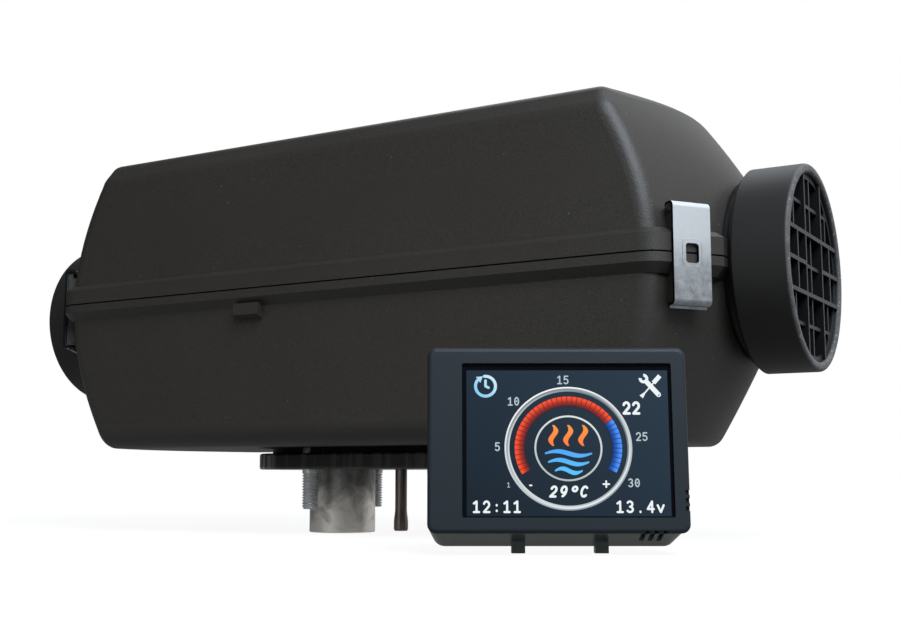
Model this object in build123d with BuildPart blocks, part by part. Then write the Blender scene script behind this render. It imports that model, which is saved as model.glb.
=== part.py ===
from build123d import *
import os
from math import atan2, cos, radians, sin, tan

# Diesel parking heater, 2 kW class, and its touch panel. Millimetres.
# X runs along the heater with the air inlet at +X, Z is up, and z = 0 is the underside of the
# mounting gasket, in the middle of the four studs.

# casing
seam_z = 63.5               # joint plane of the two shells
duct_z = 63.4               # height of the air axis
case_top = 118.7
case_bottom = 8.0
case_half_width = 53.8      # at the seam, under the belt
case_top_half_width = 48.7
case_shoulder = (53.0, 111.2)
case_bottom_half_width = 50.2
wall = 2.4
case_end_x = 134.0          # flat end of the shells, a little short of the duct rings
neck_x = 137.0              # back face of the duct rings
# Half widths, and half heights above and below the air axis, of the ellipses that shape each end.
# The shells are as wide as their section up to flat_x, and the last ellipse lies past their end.
flat_x = 99.2
flat_ellipse = (92.6, 73.5, 75.9)
dome_x = 117.8
dome_ellipse = (57.4, 52.8, 53.1)
tip_x = 136.05
tip_ellipse = (25.9, 25.9, 25.9)
edge_round = 6.0
inner_round = 2.0
upper_rounds = (6.0, 4.5)   # shoulder, top edge
lower_rounds = (8.0,)
seam_gap = 0.5
belt_low = 60.4             # the belt's upright face
belt_high = 69.2
belt_slope = 2.6            # from the upright face in to the shells
belt_slope_low = 57.3
belt_slope_high = 71.1
belt_half_length = 121.8
belt_half_width = 56.0
belt_corner = 9.0
belt_end_angle = 54.2       # plan angle of the belt along the slanted ends

# duct rings
ring_radius = 33.3
ring_face_x = 155.6
ring_wall = 3.2
spigot_radius = 27.5
spigot_depth = 7.0
lattice_pitch = 9.6

# foot, gasket and pipes
gasket_size = (117.5, 56.0, 6.0)
gasket_corner = 25.0
foot_size = (106.0, 48.0)
foot_corner = 20.0
foot_clearance = 0.5
shoulder_size = (113.0, 54.0)
shoulder_top = 15.0
stud_spacing = (54.0, 43.0)
stud_radius = 3.0
root_step = 0.2             # studs and pipes are this much thinner inside the foot
root_low = -0.1
seat_gap = 0.05
stud_low = -14.5
stud_high = 13.5
floor_z = -23.5
exhaust_x = -27.5
intake_x = 27.5
exhaust_radius = 12.5
intake_radius = 12.5
pipe_wall = 1.0
fuel_x = -0.95
fuel_radius = 2.2

# rotor and burner, on the air axis
shaft_radius = 2.5
running_gap = 0.05
motor_radius = 21.0
cup_radius = 30.0
fin_radius = 43.0
fin_count = 30

# spring clips
clip_along = 13.3           # from the belt's corner, along its slanted end
clip_size = (13.2, 31.4)
clip_middle_z = 63.2
clip_steel = 0.9
clip_lip = 3.9
clip_low_lip = 2.9
clip_bend = 1.3
clip_curl = 1.1
clip_gap = 0.35

# touch panel
panel_foot = (109.6, -95.66)    # middle of the lower front edge, seen from above
panel_turn = 30.35              # degrees from the heater's side
panel_lean = 3.5
panel_size = (69.8, 49.6)
panel_front_low = -17.53
panel_depth = 18.0
panel_bezel_depth = 8.0
panel_corner = 2.4
screen_size = (56.4, 41.2)
screen_middle = (2.6, 24.75)    # from the middle of the lower front edge

os.makedirs("parts", exist_ok=True)


def save(part, name):
    part.label = name
    export_step(part, f"parts/{name}.step")


def cross(x):
    """Plane across the air axis at x, with its own X along +Y and its own Y up."""
    return Plane(origin=(x, 0, duct_z), x_dir=(0, 1, 0), z_dir=(1, 0, 0))


# ---------------------------------------------------------------- casing forms
def domed_envelope(shift, side):
    """Solid that trims both ends of one shell to domes; its loft seam lies away from that shell."""
    def end_plane(x):
        return Plane(origin=(x - shift, 0, duct_z), x_dir=(0, 0, -side), z_dir=(1, 0, 0))

    with BuildPart() as envelope:
        for x, (across, above, below) in (
            (flat_x, flat_ellipse), (dome_x, dome_ellipse), (tip_x, tip_ellipse)
        ):
            with BuildSketch(end_plane(x)):
                Ellipse(above if side > 0 else below, across)
        loft()
        mirror(about=Plane.YZ)
        with Locations((0, 0, duct_z)):
            Box(2 * (flat_x - shift), 2 * flat_ellipse[0], 2 * flat_ellipse[0])
    return envelope.part


def half_form(outline, corner_rounds, inset, end_round, side):
    """Closed form of one shell, moved inward by inset. outline holds the corners of the section for
    y > 0, starting at the seam; the form runs a little past the seam, and each shell is split there."""
    shift = 1.25 * inset
    lap = 12.0
    (seam_y, _), (next_y, next_z) = outline[:2]
    lap_point = (seam_y + (seam_y - next_y) * lap / abs(next_z - seam_z), seam_z - side * lap)
    half = [lap_point] + list(outline[1:])
    points = half + [(-y, z) for y, z in reversed(half)]
    with BuildPart() as form:
        with BuildSketch(Plane.YZ.offset(-case_end_x + shift)) as section:
            with BuildLine():
                Polyline(*points, close=True)
            make_face()
            for (_, z), radius in zip(outline[1:], corner_rounds):
                fillet(section.vertices().filter_by_position(Axis.Y, z - 0.01, z + 0.01), radius)
            if inset:
                offset(amount=-inset)
        extrude(amount=2 * (case_end_x - shift))
        add(domed_envelope(shift, side), mode=Mode.INTERSECT)
        ends = form.edges().filter_by(
            lambda e: flat_x - shift + 0.5 < abs(e.center().X) < case_end_x - shift - 1
            and (e.center().Z - seam_z) * side > 1 - lap
        )
        fillet(ends, end_round)
    return form.part


upper_outline = [(case_half_width, seam_z), case_shoulder, (case_top_half_width, case_top)]
lower_outline = [(case_half_width, seam_z), (case_bottom_half_width, case_bottom)]


def belt_outline(inset, height):
    """The belt's plan outline, moved inward by inset."""
    neck_y = belt_half_width - (neck_x - belt_half_length) * tan(radians(belt_end_angle))
    with BuildSketch(Plane.XY.offset(height)) as outline:
        with BuildLine():
            Polyline(
                (neck_x - 0.4, neck_y),
                (belt_half_length, belt_half_width),
                (-belt_half_length, belt_half_width),
                (-neck_x + 0.4, neck_y),
                (-neck_x + 0.4, -neck_y),
                (-belt_half_length, -belt_half_width),
                (belt_half_length, -belt_half_width),
                (neck_x - 0.4, -neck_y),
                close=True,
            )
        make_face()
        corners = outline.vertices().filter_by(lambda v: abs(v.Y) > belt_half_width - 0.1)
        fillet(corners, belt_corner)
        if inset:
            offset(amount=-inset)
    return outline.sketch


def belt_block(inset, low, high):
    with BuildPart() as block:
        add(belt_outline(inset, low))
        extrude(amount=high - low)
    return block.part


def belt_edge(height, narrow_height):
    """Slope from the belt's upright face in to the shell."""
    with BuildPart() as slope:
        add(belt_outline(0, height))
        add(belt_outline(belt_slope, narrow_height))
        loft(ruled=True)
    return slope.part


def tongue_ring(outer_inset, inner_inset, low, high):
    """Closed ring that follows the belt, between two insets and two heights."""
    with BuildPart() as ring:
        add(belt_block(outer_inset, low, high))
        add(belt_block(inner_inset, low, high), mode=Mode.SUBTRACT)
    return ring.part


# The clip's own axes: across runs along the slanted belt, inward points into the casing.
across = Vector(cos(radians(belt_end_angle)), sin(radians(belt_end_angle)), 0)
inward = Vector(-across.Y, across.X, 0)
belt_corner_point = Vector(belt_half_length, -belt_half_width, clip_middle_z)
clip_centre = belt_corner_point + across * clip_along - inward * (clip_gap + clip_steel)
clip_profile_plane = Plane(
    origin=clip_centre - across * clip_size[0] / 2, x_dir=inward, z_dir=across
)
clip_half_height = clip_size[1] / 2


def four_corners(shape):
    """The shape at the near inlet corner, and its three mirror images."""
    with BuildPart() as group:
        add(shape)
        mirror(about=Plane.XZ)
        mirror(about=Plane.YZ)
    return group.part


def block_on_clip(low, high, depth_from, depth_to, width):
    """Block in the clip's axes, between two heights above its middle and two depths."""
    with BuildPart() as block:
        with BuildSketch(clip_profile_plane.offset((clip_size[0] - width) / 2)):
            with Locations(((depth_from + depth_to) / 2, (low + high) / 2)):
                Rectangle(depth_to - depth_from, high - low)
        extrude(amount=width)
    return block.part


pad_face = clip_steel + clip_gap
pad_edge = clip_half_height - clip_steel - clip_gap
pad_width = clip_size[0] - 2.4
groove_depth = clip_lip - clip_steel / 2 - clip_gap
upper_pads = four_corners(block_on_clip(0, pad_edge, pad_face, 9, pad_width))
lower_pads = four_corners(block_on_clip(-pad_edge + 0.2, 0, pad_face, 9, pad_width))
hook_grooves = four_corners(
    block_on_clip(pad_edge - clip_curl - 1.0, pad_edge + 2, groove_depth - 0.2, clip_lip + 1.4, 14.2)
)

# ---------------------------------------------------------------- upper and lower shell
tongue = (2.4, 3.8)         # inset of the tongue's two faces from the belt
tongue_up = 1.6
foot_hole = (foot_size[0] + 2 * foot_clearance, foot_size[1] + 2 * foot_clearance)
grommet_x = 62.0
grommet_z = 26.0
grommet_hole = 7.0

with BuildPart() as upper_shell:
    add(half_form(upper_outline, upper_rounds, 0, edge_round, 1))
    add(belt_block(0, seam_z, belt_high))
    add(belt_edge(belt_high, belt_slope_high))
    add(upper_pads)
    split(bisect_by=Plane.XY.offset(seam_z + seam_gap / 2), keep=Keep.TOP)
    add(half_form(upper_outline, upper_rounds, wall, inner_round, 1), mode=Mode.SUBTRACT)
    with BuildSketch(cross(-neck_x)):
        Circle(spigot_radius + 0.15)
    extrude(amount=2 * neck_x, mode=Mode.SUBTRACT)
    add(
        tongue_ring(tongue[0] - 0.1, tongue[1] + 0.1, seam_z, seam_z + tongue_up),
        mode=Mode.SUBTRACT,
    )
    add(hook_grooves, mode=Mode.SUBTRACT)
save(upper_shell.part, "upper_shell")

wall_tilt = atan2(case_half_width - case_bottom_half_width, seam_z - case_bottom)
grommet_y = case_bottom_half_width + (grommet_z - case_bottom) * tan(wall_tilt)
grommet_plane = Plane(
    origin=(grommet_x, grommet_y, grommet_z),
    x_dir=(1, 0, 0),
    z_dir=(0, cos(wall_tilt), -sin(wall_tilt)),
)
catch_x = -31.0
catch_length = 11.0
catch_back = -52.0
catch_heights = (58.3, 54.2, 52.6)

with BuildPart() as lower_shell:
    add(half_form(lower_outline, lower_rounds, 0, edge_round, -1))
    add(belt_block(0, belt_low, seam_z))
    add(belt_edge(belt_low, belt_slope_low))
    add(lower_pads)
    with BuildSketch(Plane.YZ.offset(catch_x - catch_length / 2)):
        with BuildLine():
            high, middle, low = catch_heights
            Polyline((catch_back, high), (-belt_half_width, high), (-belt_half_width, middle),
                     (-belt_half_width + 2.6, low), (catch_back, low), close=True)
        make_face()
    extrude(amount=catch_length)
    split(bisect_by=Plane.XY.offset(seam_z - seam_gap / 2), keep=Keep.BOTTOM)
    add(half_form(lower_outline, lower_rounds, wall, inner_round, -1), mode=Mode.SUBTRACT)
    add(tongue_ring(*tongue, seam_z - seam_gap / 2, seam_z + tongue_up))
    with BuildSketch(cross(-neck_x)):
        Circle(spigot_radius + 0.15)
    extrude(amount=2 * neck_x, mode=Mode.SUBTRACT)
    with BuildSketch(Plane.XY.offset(case_bottom)):
        RectangleRounded(foot_hole[0], foot_hole[1], foot_corner)
    extrude(amount=wall, mode=Mode.SUBTRACT)
    with BuildSketch(grommet_plane.offset(-wall - 1)):
        Circle(grommet_hole)
    extrude(amount=wall + 2, mode=Mode.SUBTRACT)
save(lower_shell.part, "lower_shell")

with BuildPart() as cable_grommet:
    with BuildSketch(grommet_plane.offset(-wall)):
        Circle(grommet_hole - 0.05)
    extrude(amount=wall)
    with BuildSketch(grommet_plane):
        Circle(grommet_hole + 2.2)
    extrude(amount=2.0, taper=18)
    with BuildSketch(grommet_plane.offset(-wall)):
        Circle(grommet_hole + 1.6)
    extrude(amount=-1.6)
    with BuildSketch(grommet_plane.offset(2.0)):
        Circle(grommet_hole - 2.0)
    extrude(amount=2.2)
    with BuildSketch(grommet_plane.offset(4.2)):
        Circle(2.6)
    extrude(amount=-6.0, mode=Mode.SUBTRACT)
save(cable_grommet.part, "cable_grommet")

# ---------------------------------------------------------------- duct rings and finger guards
rim_round = 1.3
lattice_back = 149.4
lattice_step = 153.8        # the recessed bars end here and the proud bars go on
lattice_face = 154.9
thin_bar = 1.1
thick_bar = 1.3
guard_hoop = 1.6
guard_radius = ring_radius - ring_wall - seat_gap

with BuildPart() as ring_form:
    with BuildSketch(Plane.XZ):
        with Locations((0, duct_z)):
            with Locations(((neck_x + ring_face_x) / 2, ring_radius - ring_wall / 2)):
                Rectangle(ring_face_x - neck_x, ring_wall)
            with Locations((neck_x + 1.5, (ring_radius + spigot_radius - 2.2) / 2)):
                Rectangle(3.0, ring_radius - spigot_radius + 2.2)
            with Locations((neck_x - spigot_depth / 2 + 0.5, spigot_radius - 1.1)):
                Rectangle(spigot_depth + 1, 2.2)
    revolve(axis=Axis((0, 0, duct_z), (1, 0, 0)))
    rim = ring_form.edges().filter_by(GeomType.CIRCLE).group_by(Axis.X)[-1]
    fillet(rim, rim_round)
    back = ring_form.edges().filter_by(
        lambda e: abs(e.center().X - neck_x) < 0.01 and e.radius > ring_radius - 0.1
    )
    chamfer(back, 1.4)
save(ring_form.part, "inlet_ring")

with BuildPart() as outlet_ring:
    mirror(ring_form.part, about=Plane.YZ)
save(outlet_ring.part, "outlet_ring")


def bars(x_from, x_to, lines, width, upright):
    """Parallel bars across the duct, each cut to the duct's bore."""
    with BuildPart() as group:
        with BuildSketch(cross(x_from)):
            for line in lines:
                reach = 2 * (guard_radius**2 - line**2) ** 0.5
                with Locations((line, 0) if upright else (0, line)):
                    Rectangle(width if upright else reach, reach if upright else width)
            Circle(guard_radius, mode=Mode.INTERSECT)
        extrude(amount=x_to - x_from)
    return group.part


grid = [step * lattice_pitch for step in (-2, -1, 0, 1, 2)]
inner_lines = [-lattice_pitch, lattice_pitch]
with BuildPart() as inlet_grille:
    with BuildSketch(cross(lattice_back)):
        Circle(guard_radius)
        Circle(guard_radius - guard_hoop, mode=Mode.SUBTRACT)
    extrude(amount=lattice_step - lattice_back)
    add(bars(lattice_back, lattice_step, grid, thin_bar, True))
    add(bars(lattice_back, lattice_step, grid, thin_bar, False))
    add(bars(lattice_step, lattice_face, inner_lines, thick_bar, False))
    add(bars(lattice_step, lattice_face, inner_lines, thin_bar, True))
    with BuildSketch(cross(lattice_step)):
        for line in (grid[0], grid[-1]):
            with Locations((line, 0)):
                Rectangle(thin_bar, 2 * lattice_pitch)
        for way in (-1, 1):
            with Locations((way * (lattice_pitch + guard_radius) / 2, 0)):
                Rectangle(guard_radius - lattice_pitch, thick_bar)
        Circle(guard_radius, mode=Mode.INTERSECT)
    extrude(amount=lattice_face - lattice_step)
save(inlet_grille.part, "inlet_grille")

with BuildPart() as outlet_grille:
    mirror(inlet_grille.part, about=Plane.YZ)
save(outlet_grille.part, "outlet_grille")

# ---------------------------------------------------------------- spring clips
with BuildPart() as clip_form:
    with BuildSketch(clip_profile_plane) as clip_section:
        with BuildLine():
            mid = clip_half_height - clip_steel / 2
            outer = clip_steel / 2
            FilletPolyline(
                (clip_lip, mid - clip_curl),
                (clip_lip, mid),
                (outer, mid),
                (outer, -mid),
                (clip_low_lip, -mid),
                (clip_low_lip + 0.3, -mid - clip_curl),
                radius=[0.55, clip_bend, clip_bend, 0.5],
            )
        trace(line_width=clip_steel)
    extrude(amount=clip_size[0])
    with BuildSketch(Plane(origin=clip_centre, x_dir=across, z_dir=-inward)):
        RectangleRounded(4.6, 6.0, 1.0)
    extrude(amount=3, both=True, mode=Mode.SUBTRACT)

save(clip_form.part, "clip_inlet_front")
with BuildPart() as clip_inlet_rear:
    mirror(clip_form.part, about=Plane.XZ)
save(clip_inlet_rear.part, "clip_inlet_rear")
with BuildPart() as clip_outlet_front:
    mirror(clip_form.part, about=Plane.YZ)
save(clip_outlet_front.part, "clip_outlet_front")
with BuildPart() as clip_outlet_rear:
    mirror(clip_inlet_rear.part, about=Plane.YZ)
save(clip_outlet_rear.part, "clip_outlet_rear")

# ---------------------------------------------------------------- gasket, studs and pipes
pipe_seat = 10.0            # the pipes stop here, in the foot
stud_sites = GridLocations(stud_spacing[0], stud_spacing[1], 2, 2)

with BuildPart() as flange_gasket:
    with BuildSketch():
        RectangleRounded(gasket_size[0], gasket_size[1], gasket_corner)
    extrude(amount=gasket_size[2])
    fillet(flange_gasket.edges().group_by(Axis.Z)[0] + flange_gasket.edges().group_by(Axis.Z)[-1], 0.9)
    with BuildSketch():
        with Locations((exhaust_x, 0)):
            Circle(exhaust_radius + seat_gap)
        with Locations((intake_x, 0)):
            Circle(intake_radius + seat_gap)
        with Locations((fuel_x, 0)):
            Circle(fuel_radius + seat_gap)
        with stud_sites:
            Circle(stud_radius + seat_gap)
    extrude(amount=gasket_size[2], mode=Mode.SUBTRACT)
save(flange_gasket.part, "flange_gasket")

with BuildPart() as mounting_studs:
    with BuildSketch(Plane.XY.offset(stud_low)):
        with stud_sites:
            Circle(stud_radius)
    extrude(amount=root_low - stud_low)
    chamfer(mounting_studs.edges().group_by(Axis.Z)[0], 0.7)
    with BuildSketch(Plane.XY.offset(root_low)):
        with stud_sites:
            Circle(stud_radius - root_step)
    extrude(amount=stud_high - root_low)
save(mounting_studs.part, "mounting_studs")


def stub(x, radius):
    """Open pipe stub from the floor up into the foot, its lower rim eased."""
    with BuildPart() as pipe:
        with BuildSketch(Plane.XY.offset(floor_z)):
            with Locations((x, 0)):
                Circle(radius)
        extrude(amount=root_low - floor_z)
        fillet(pipe.edges().group_by(Axis.Z)[0], 0.35)
        with BuildSketch(Plane.XY.offset(root_low)):
            with Locations((x, 0)):
                Circle(radius - root_step)
        extrude(amount=pipe_seat - root_low)
        with BuildSketch(Plane.XY.offset(floor_z)):
            with Locations((x, 0)):
                Circle(radius - pipe_wall)
        extrude(amount=pipe_seat - floor_z, mode=Mode.SUBTRACT)
    return pipe.part


save(stub(exhaust_x, exhaust_radius), "exhaust_pipe")
save(stub(intake_x, intake_radius), "intake_pipe")

fuel_top = duct_z - 26.0
fuel_low = -22.6
fuel_bore = 1.2
bead_radius = 2.65
bead_length = 2.4
bead_end = 0.6
flare = 5.2
with BuildPart() as fuel_pipe:
    with BuildSketch(Plane.XZ):
        with BuildLine():
            root = fuel_x + fuel_radius - root_step
            bead = fuel_x + bead_radius
            bead_low = fuel_low + bead_end
            bead_top = bead_low + bead_length
            Polyline((fuel_x + fuel_bore, fuel_low), (fuel_x + fuel_bore, fuel_top),
                     (root, fuel_top), (root, root_low), (fuel_x + fuel_radius, root_low),
                     (fuel_x + fuel_radius, bead_top + flare))
            Spline((fuel_x + fuel_radius, bead_top + flare), (bead, bead_top),
                   tangents=((0, -1), (0, -1)))
            Line((bead, bead_top), (bead, bead_low))
            Line((bead, bead_low), (bead - 0.35, fuel_low))
            Line((bead - 0.35, fuel_low), (fuel_x + fuel_bore, fuel_low))
        make_face()
    revolve(axis=Axis((fuel_x, 0, 0), (0, 0, 1)))
save(fuel_pipe.part, "fuel_pipe")

# ---------------------------------------------------------------- heat exchanger and burner
cup_wall = 3.5
cup_end = -98.0
cup_mouth = 9.0
flange_face = 13.0
flange_radius = 43.5
fin_thickness = 1.8
fins_from = -90.0
fins_to = -13.0
plug_x = -4.0
plug_radius = 3.5
boss_radius = 8.0
boss_top = 99.0
web_top = 40.0
duct_radius = 10.5
tower_radius = 14.5
tower_top = 19.6

with BuildPart() as heat_exchanger:
    with BuildSketch(cross(cup_end)):
        Circle(cup_radius)
    extrude(amount=flange_face - cup_end)
    fillet(heat_exchanger.edges().group_by(Axis.X)[0], 9)
    with BuildSketch(cross(fins_from)):
        with PolarLocations((cup_radius + fin_radius) / 2, fin_count):
            Rectangle(fin_radius - cup_radius + 2, fin_thickness)
    extrude(amount=fins_to - fins_from)
    with BuildSketch(cross(cup_mouth)):
        Circle(flange_radius)
    extrude(amount=flange_face - cup_mouth)
    with BuildSketch(Plane.XY.offset(gasket_size[2])):
        RectangleRounded(foot_size[0], foot_size[1], foot_corner)
    extrude(amount=shoulder_top - gasket_size[2])
    with BuildSketch(Plane.XY.offset(case_bottom + wall)):
        RectangleRounded(shoulder_size[0], shoulder_size[1], foot_corner + 3)
    extrude(amount=shoulder_top - case_bottom - wall)
    with BuildSketch(Plane.XY.offset(shoulder_top - 1)):
        with Locations(((exhaust_x + cup_mouth - 15) / 2, 0)):
            RectangleRounded(cup_mouth + 15 - exhaust_x, 36, 8)
    extrude(amount=web_top - shoulder_top)
    with BuildSketch(Plane.XY.offset(shoulder_top - 1)):
        with Locations((intake_x, 0)):
            Circle(tower_radius)
    extrude(amount=tower_top - shoulder_top + 1)
    with BuildSketch(Plane.XY.offset(duct_z)):
        with Locations((plug_x, 0)):
            Circle(boss_radius)
    extrude(amount=boss_top - duct_z)
    with BuildSketch(cross(cup_end + cup_wall)):
        Circle(cup_radius - cup_wall)
    extrude(amount=flange_face - cup_end, mode=Mode.SUBTRACT)
    for x, radius, top in (
        (exhaust_x, duct_radius, duct_z - 15),
        (intake_x, duct_radius, tower_top),
        (fuel_x, fuel_radius - root_step + seat_gap, duct_z - 15),
    ):
        with BuildSketch(Plane.XY.offset(gasket_size[2])):
            with Locations((x, 0)):
                Circle(radius)
        extrude(amount=top - gasket_size[2], mode=Mode.SUBTRACT)
    for x, radius in ((exhaust_x, exhaust_radius), (intake_x, intake_radius)):
        with BuildSketch(Plane.XY.offset(gasket_size[2])):
            with Locations((x, 0)):
                Circle(radius - root_step + seat_gap)
        extrude(amount=pipe_seat - gasket_size[2], mode=Mode.SUBTRACT)
    with BuildSketch(Plane.XY.offset(gasket_size[2])):
        with stud_sites:
            Circle(stud_radius - root_step + seat_gap)
    extrude(amount=stud_high - gasket_size[2], mode=Mode.SUBTRACT)
    with BuildSketch(Plane.XY.offset(duct_z)):
        with Locations((plug_x, 0)):
            Circle(plug_radius + seat_gap)
    extrude(amount=boss_top - duct_z, mode=Mode.SUBTRACT)
save(heat_exchanger.part, "heat_exchanger")

head_radius = cup_radius - cup_wall
tube_radius = 20.0
tube_wall = 1.2
tube_end = -64.0
tube_start = 5.0
with BuildPart() as burner_head:
    with BuildSketch(cross(tube_start)):
        Circle(head_radius)
        Circle(7, mode=Mode.SUBTRACT)
        with PolarLocations(14, 8):
            SlotOverall(7, 2.2, rotation=35, mode=Mode.SUBTRACT)
    extrude(amount=cup_mouth - tube_start)
save(burner_head.part, "burner_head")

with BuildPart() as flame_tube:
    with BuildSketch(cross(tube_end)):
        Circle(tube_radius)
        Circle(tube_radius - tube_wall, mode=Mode.SUBTRACT)
    extrude(amount=tube_start - tube_end)
    for x, turn in ((-20, 0), (-32, 22.5), (-44, 0)):
        for number in range(8):
            with BuildSketch(cross(x).rotated((0, 0, turn + 45 * number)).rotated((0, 90, 0))):
                Circle(2.6)
            extrude(amount=tube_radius + 2, mode=Mode.SUBTRACT)
    with BuildSketch(Plane.XY.offset(duct_z)):
        with Locations((plug_x, 0)):
            Circle(plug_radius + 0.3)
    extrude(amount=tube_radius + 2, mode=Mode.SUBTRACT)
save(flame_tube.part, "flame_tube")

with BuildPart() as glow_plug:
    with BuildSketch(Plane.XY.offset(duct_z + 13)):
        with Locations((plug_x, 0)):
            Circle(plug_radius)
    extrude(amount=boss_top - duct_z - 13)
    with BuildSketch(Plane.XY.offset(boss_top)):
        with Locations((plug_x, 0)):
            RegularPolygon(5.6, 6)
    extrude(amount=6)
    with BuildSketch(Plane.XY.offset(boss_top + 6)):
        with Locations((plug_x, 0)):
            Circle(2)
    extrude(amount=5)
save(glow_plug.part, "glow_plug")

with BuildPart() as overheat_sensor:
    with BuildSketch(cross(cup_end)):
        Circle(7)
    extrude(amount=-4)
    with BuildSketch(cross(cup_end - 4)):
        with Locations((-3, 0), (3, 0)):
            Rectangle(1, 3)
    extrude(amount=-4)
save(overheat_sensor.part, "overheat_sensor")

# ---------------------------------------------------------------- blower and rotor
gasket_face = flange_face + 1.0
housing_flange = 3.0
housing_radius = 34.0
housing_wall = 2.5
housing_end = 36.5
inlet_hole = 12.0
shaft_hole = 4.0
screw_ring = 39.5
with BuildPart() as burner_gasket:
    with BuildSketch(cross(flange_face)):
        Circle(flange_radius)
        Circle(head_radius, mode=Mode.SUBTRACT)
        with PolarLocations(screw_ring, 4, start_angle=45):
            Circle(2.05, mode=Mode.SUBTRACT)
    extrude(amount=gasket_face - flange_face)
save(burner_gasket.part, "burner_gasket")

with BuildPart() as blower_housing:
    with BuildSketch(cross(gasket_face)):
        Circle(flange_radius)
    extrude(amount=housing_flange)
    with BuildSketch(cross(gasket_face)):
        Circle(housing_radius)
    extrude(amount=housing_end - gasket_face)
    with BuildSketch(Plane.XY.offset(tower_top)):
        with Locations((intake_x, 0)):
            Circle(tower_radius - 1.8)
    extrude(amount=18)
    with BuildSketch(cross(gasket_face + housing_flange)):
        Circle(housing_radius - housing_wall)
    extrude(amount=housing_end - gasket_face - housing_flange - housing_wall, mode=Mode.SUBTRACT)
    with BuildSketch(cross(gasket_face)):
        Circle(inlet_hole)
        with PolarLocations(screw_ring, 4, start_angle=45):
            Circle(2.0)
    extrude(amount=housing_flange, mode=Mode.SUBTRACT)
    with BuildSketch(cross(housing_end)):
        Circle(shaft_hole)
    extrude(amount=-housing_wall, mode=Mode.SUBTRACT)
    with BuildSketch(Plane.XY.offset(tower_top)):
        with Locations((intake_x, 0)):
            Circle(7)
    extrude(amount=18, mode=Mode.SUBTRACT)
save(blower_housing.part, "blower_housing")

with BuildPart() as blower_screws:
    with BuildSketch(cross(flange_face)):
        with PolarLocations(screw_ring, 4, start_angle=45):
            Circle(2.0)
    extrude(amount=gasket_face + housing_flange - flange_face)
    with BuildSketch(cross(gasket_face + housing_flange)):
        with PolarLocations(screw_ring, 4, start_angle=45):
            Circle(3.5)
    extrude(amount=2.6)
    with BuildSketch(cross(gasket_face + housing_flange + 2.6)):
        with PolarLocations(screw_ring, 4, start_angle=45):
            RegularPolygon(1.7, 6)
    extrude(amount=-1.5, mode=Mode.SUBTRACT)
save(blower_screws.part, "blower_screws")

motor_end = 82.0
bearing_radius = 5.5
bearing_width = 5.0
with BuildPart() as blower_motor:
    with BuildSketch(cross(housing_end)):
        Circle(motor_radius)
    extrude(amount=motor_end - housing_end)
    fillet(blower_motor.edges().group_by(Axis.X)[-1], 2)
    with BuildSketch(cross(housing_end)):
        Circle(shaft_hole)
    extrude(amount=motor_end - housing_end, mode=Mode.SUBTRACT)
    for x, way in ((housing_end, 1), (motor_end, -1)):
        with BuildSketch(cross(x)):
            Circle(bearing_radius)
        extrude(amount=way * bearing_width, mode=Mode.SUBTRACT)
        with BuildSketch(cross(x + way * 12)):
            with PolarLocations(motor_radius, 6):
                Rectangle(3, 5)
        extrude(amount=way * 6, mode=Mode.SUBTRACT)
save(blower_motor.part, "blower_motor")

with BuildPart() as motor_bearings:
    for x, way in ((housing_end, 1), (motor_end, -1)):
        with BuildSketch(cross(x)):
            Circle(bearing_radius)
            Circle(shaft_radius + running_gap, mode=Mode.SUBTRACT)
        extrude(amount=way * bearing_width)
save(motor_bearings.part, "motor_bearings")

shaft_start = 19.0
shaft_end = 115.0
with BuildPart() as rotor_shaft:
    with BuildSketch(cross(shaft_start)):
        Circle(shaft_radius)
    extrude(amount=shaft_end - shaft_start)
    chamfer(rotor_shaft.edges(), 0.4)
save(rotor_shaft.part, "rotor_shaft")

wheel_back = 21.5
wheel_radius = 26.0
with BuildPart() as combustion_impeller:
    with BuildSketch(cross(wheel_back)):
        Circle(wheel_radius)
    extrude(amount=1.6)
    with BuildSketch(cross(wheel_back + 1.6)):
        with PolarLocations(18, 12):
            Rectangle(12, 1.3, rotation=28)
    extrude(amount=6.5)
    with BuildSketch(cross(wheel_back)):
        Circle(6.5)
    extrude(amount=9)
    with BuildSketch(cross(wheel_back)):
        Circle(shaft_radius)
    extrude(amount=9, mode=Mode.SUBTRACT)
save(combustion_impeller.part, "combustion_impeller")

fan_back = 90.0
fan_front = 112.0
hub_radius = 15.0
fan_radius = 37.0
blade_count = 9
with BuildPart() as air_impeller:
    with BuildSketch(cross(fan_back)):
        Circle(hub_radius)
    extrude(amount=fan_front - fan_back)
    fillet(air_impeller.edges().group_by(Axis.X)[-1], 6)
    for number in range(blade_count):
        spoke = Plane(
            origin=((fan_back + fan_front) / 2 - 1, 0, duct_z),
            x_dir=(1, 0, 0),
            z_dir=(0, cos(radians(40 * number)), sin(radians(40 * number))),
        )
        with BuildSketch(spoke.offset(hub_radius - 2)):
            Rectangle(21, 2.2, rotation=48)
        with BuildSketch(spoke.offset(fan_radius)):
            Rectangle(17, 1.4, rotation=66)
        loft()
    with BuildSketch(cross(fan_back)):
        Circle(shaft_radius)
    extrude(amount=fan_front - fan_back, mode=Mode.SUBTRACT)
save(air_impeller.part, "air_impeller")

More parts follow.
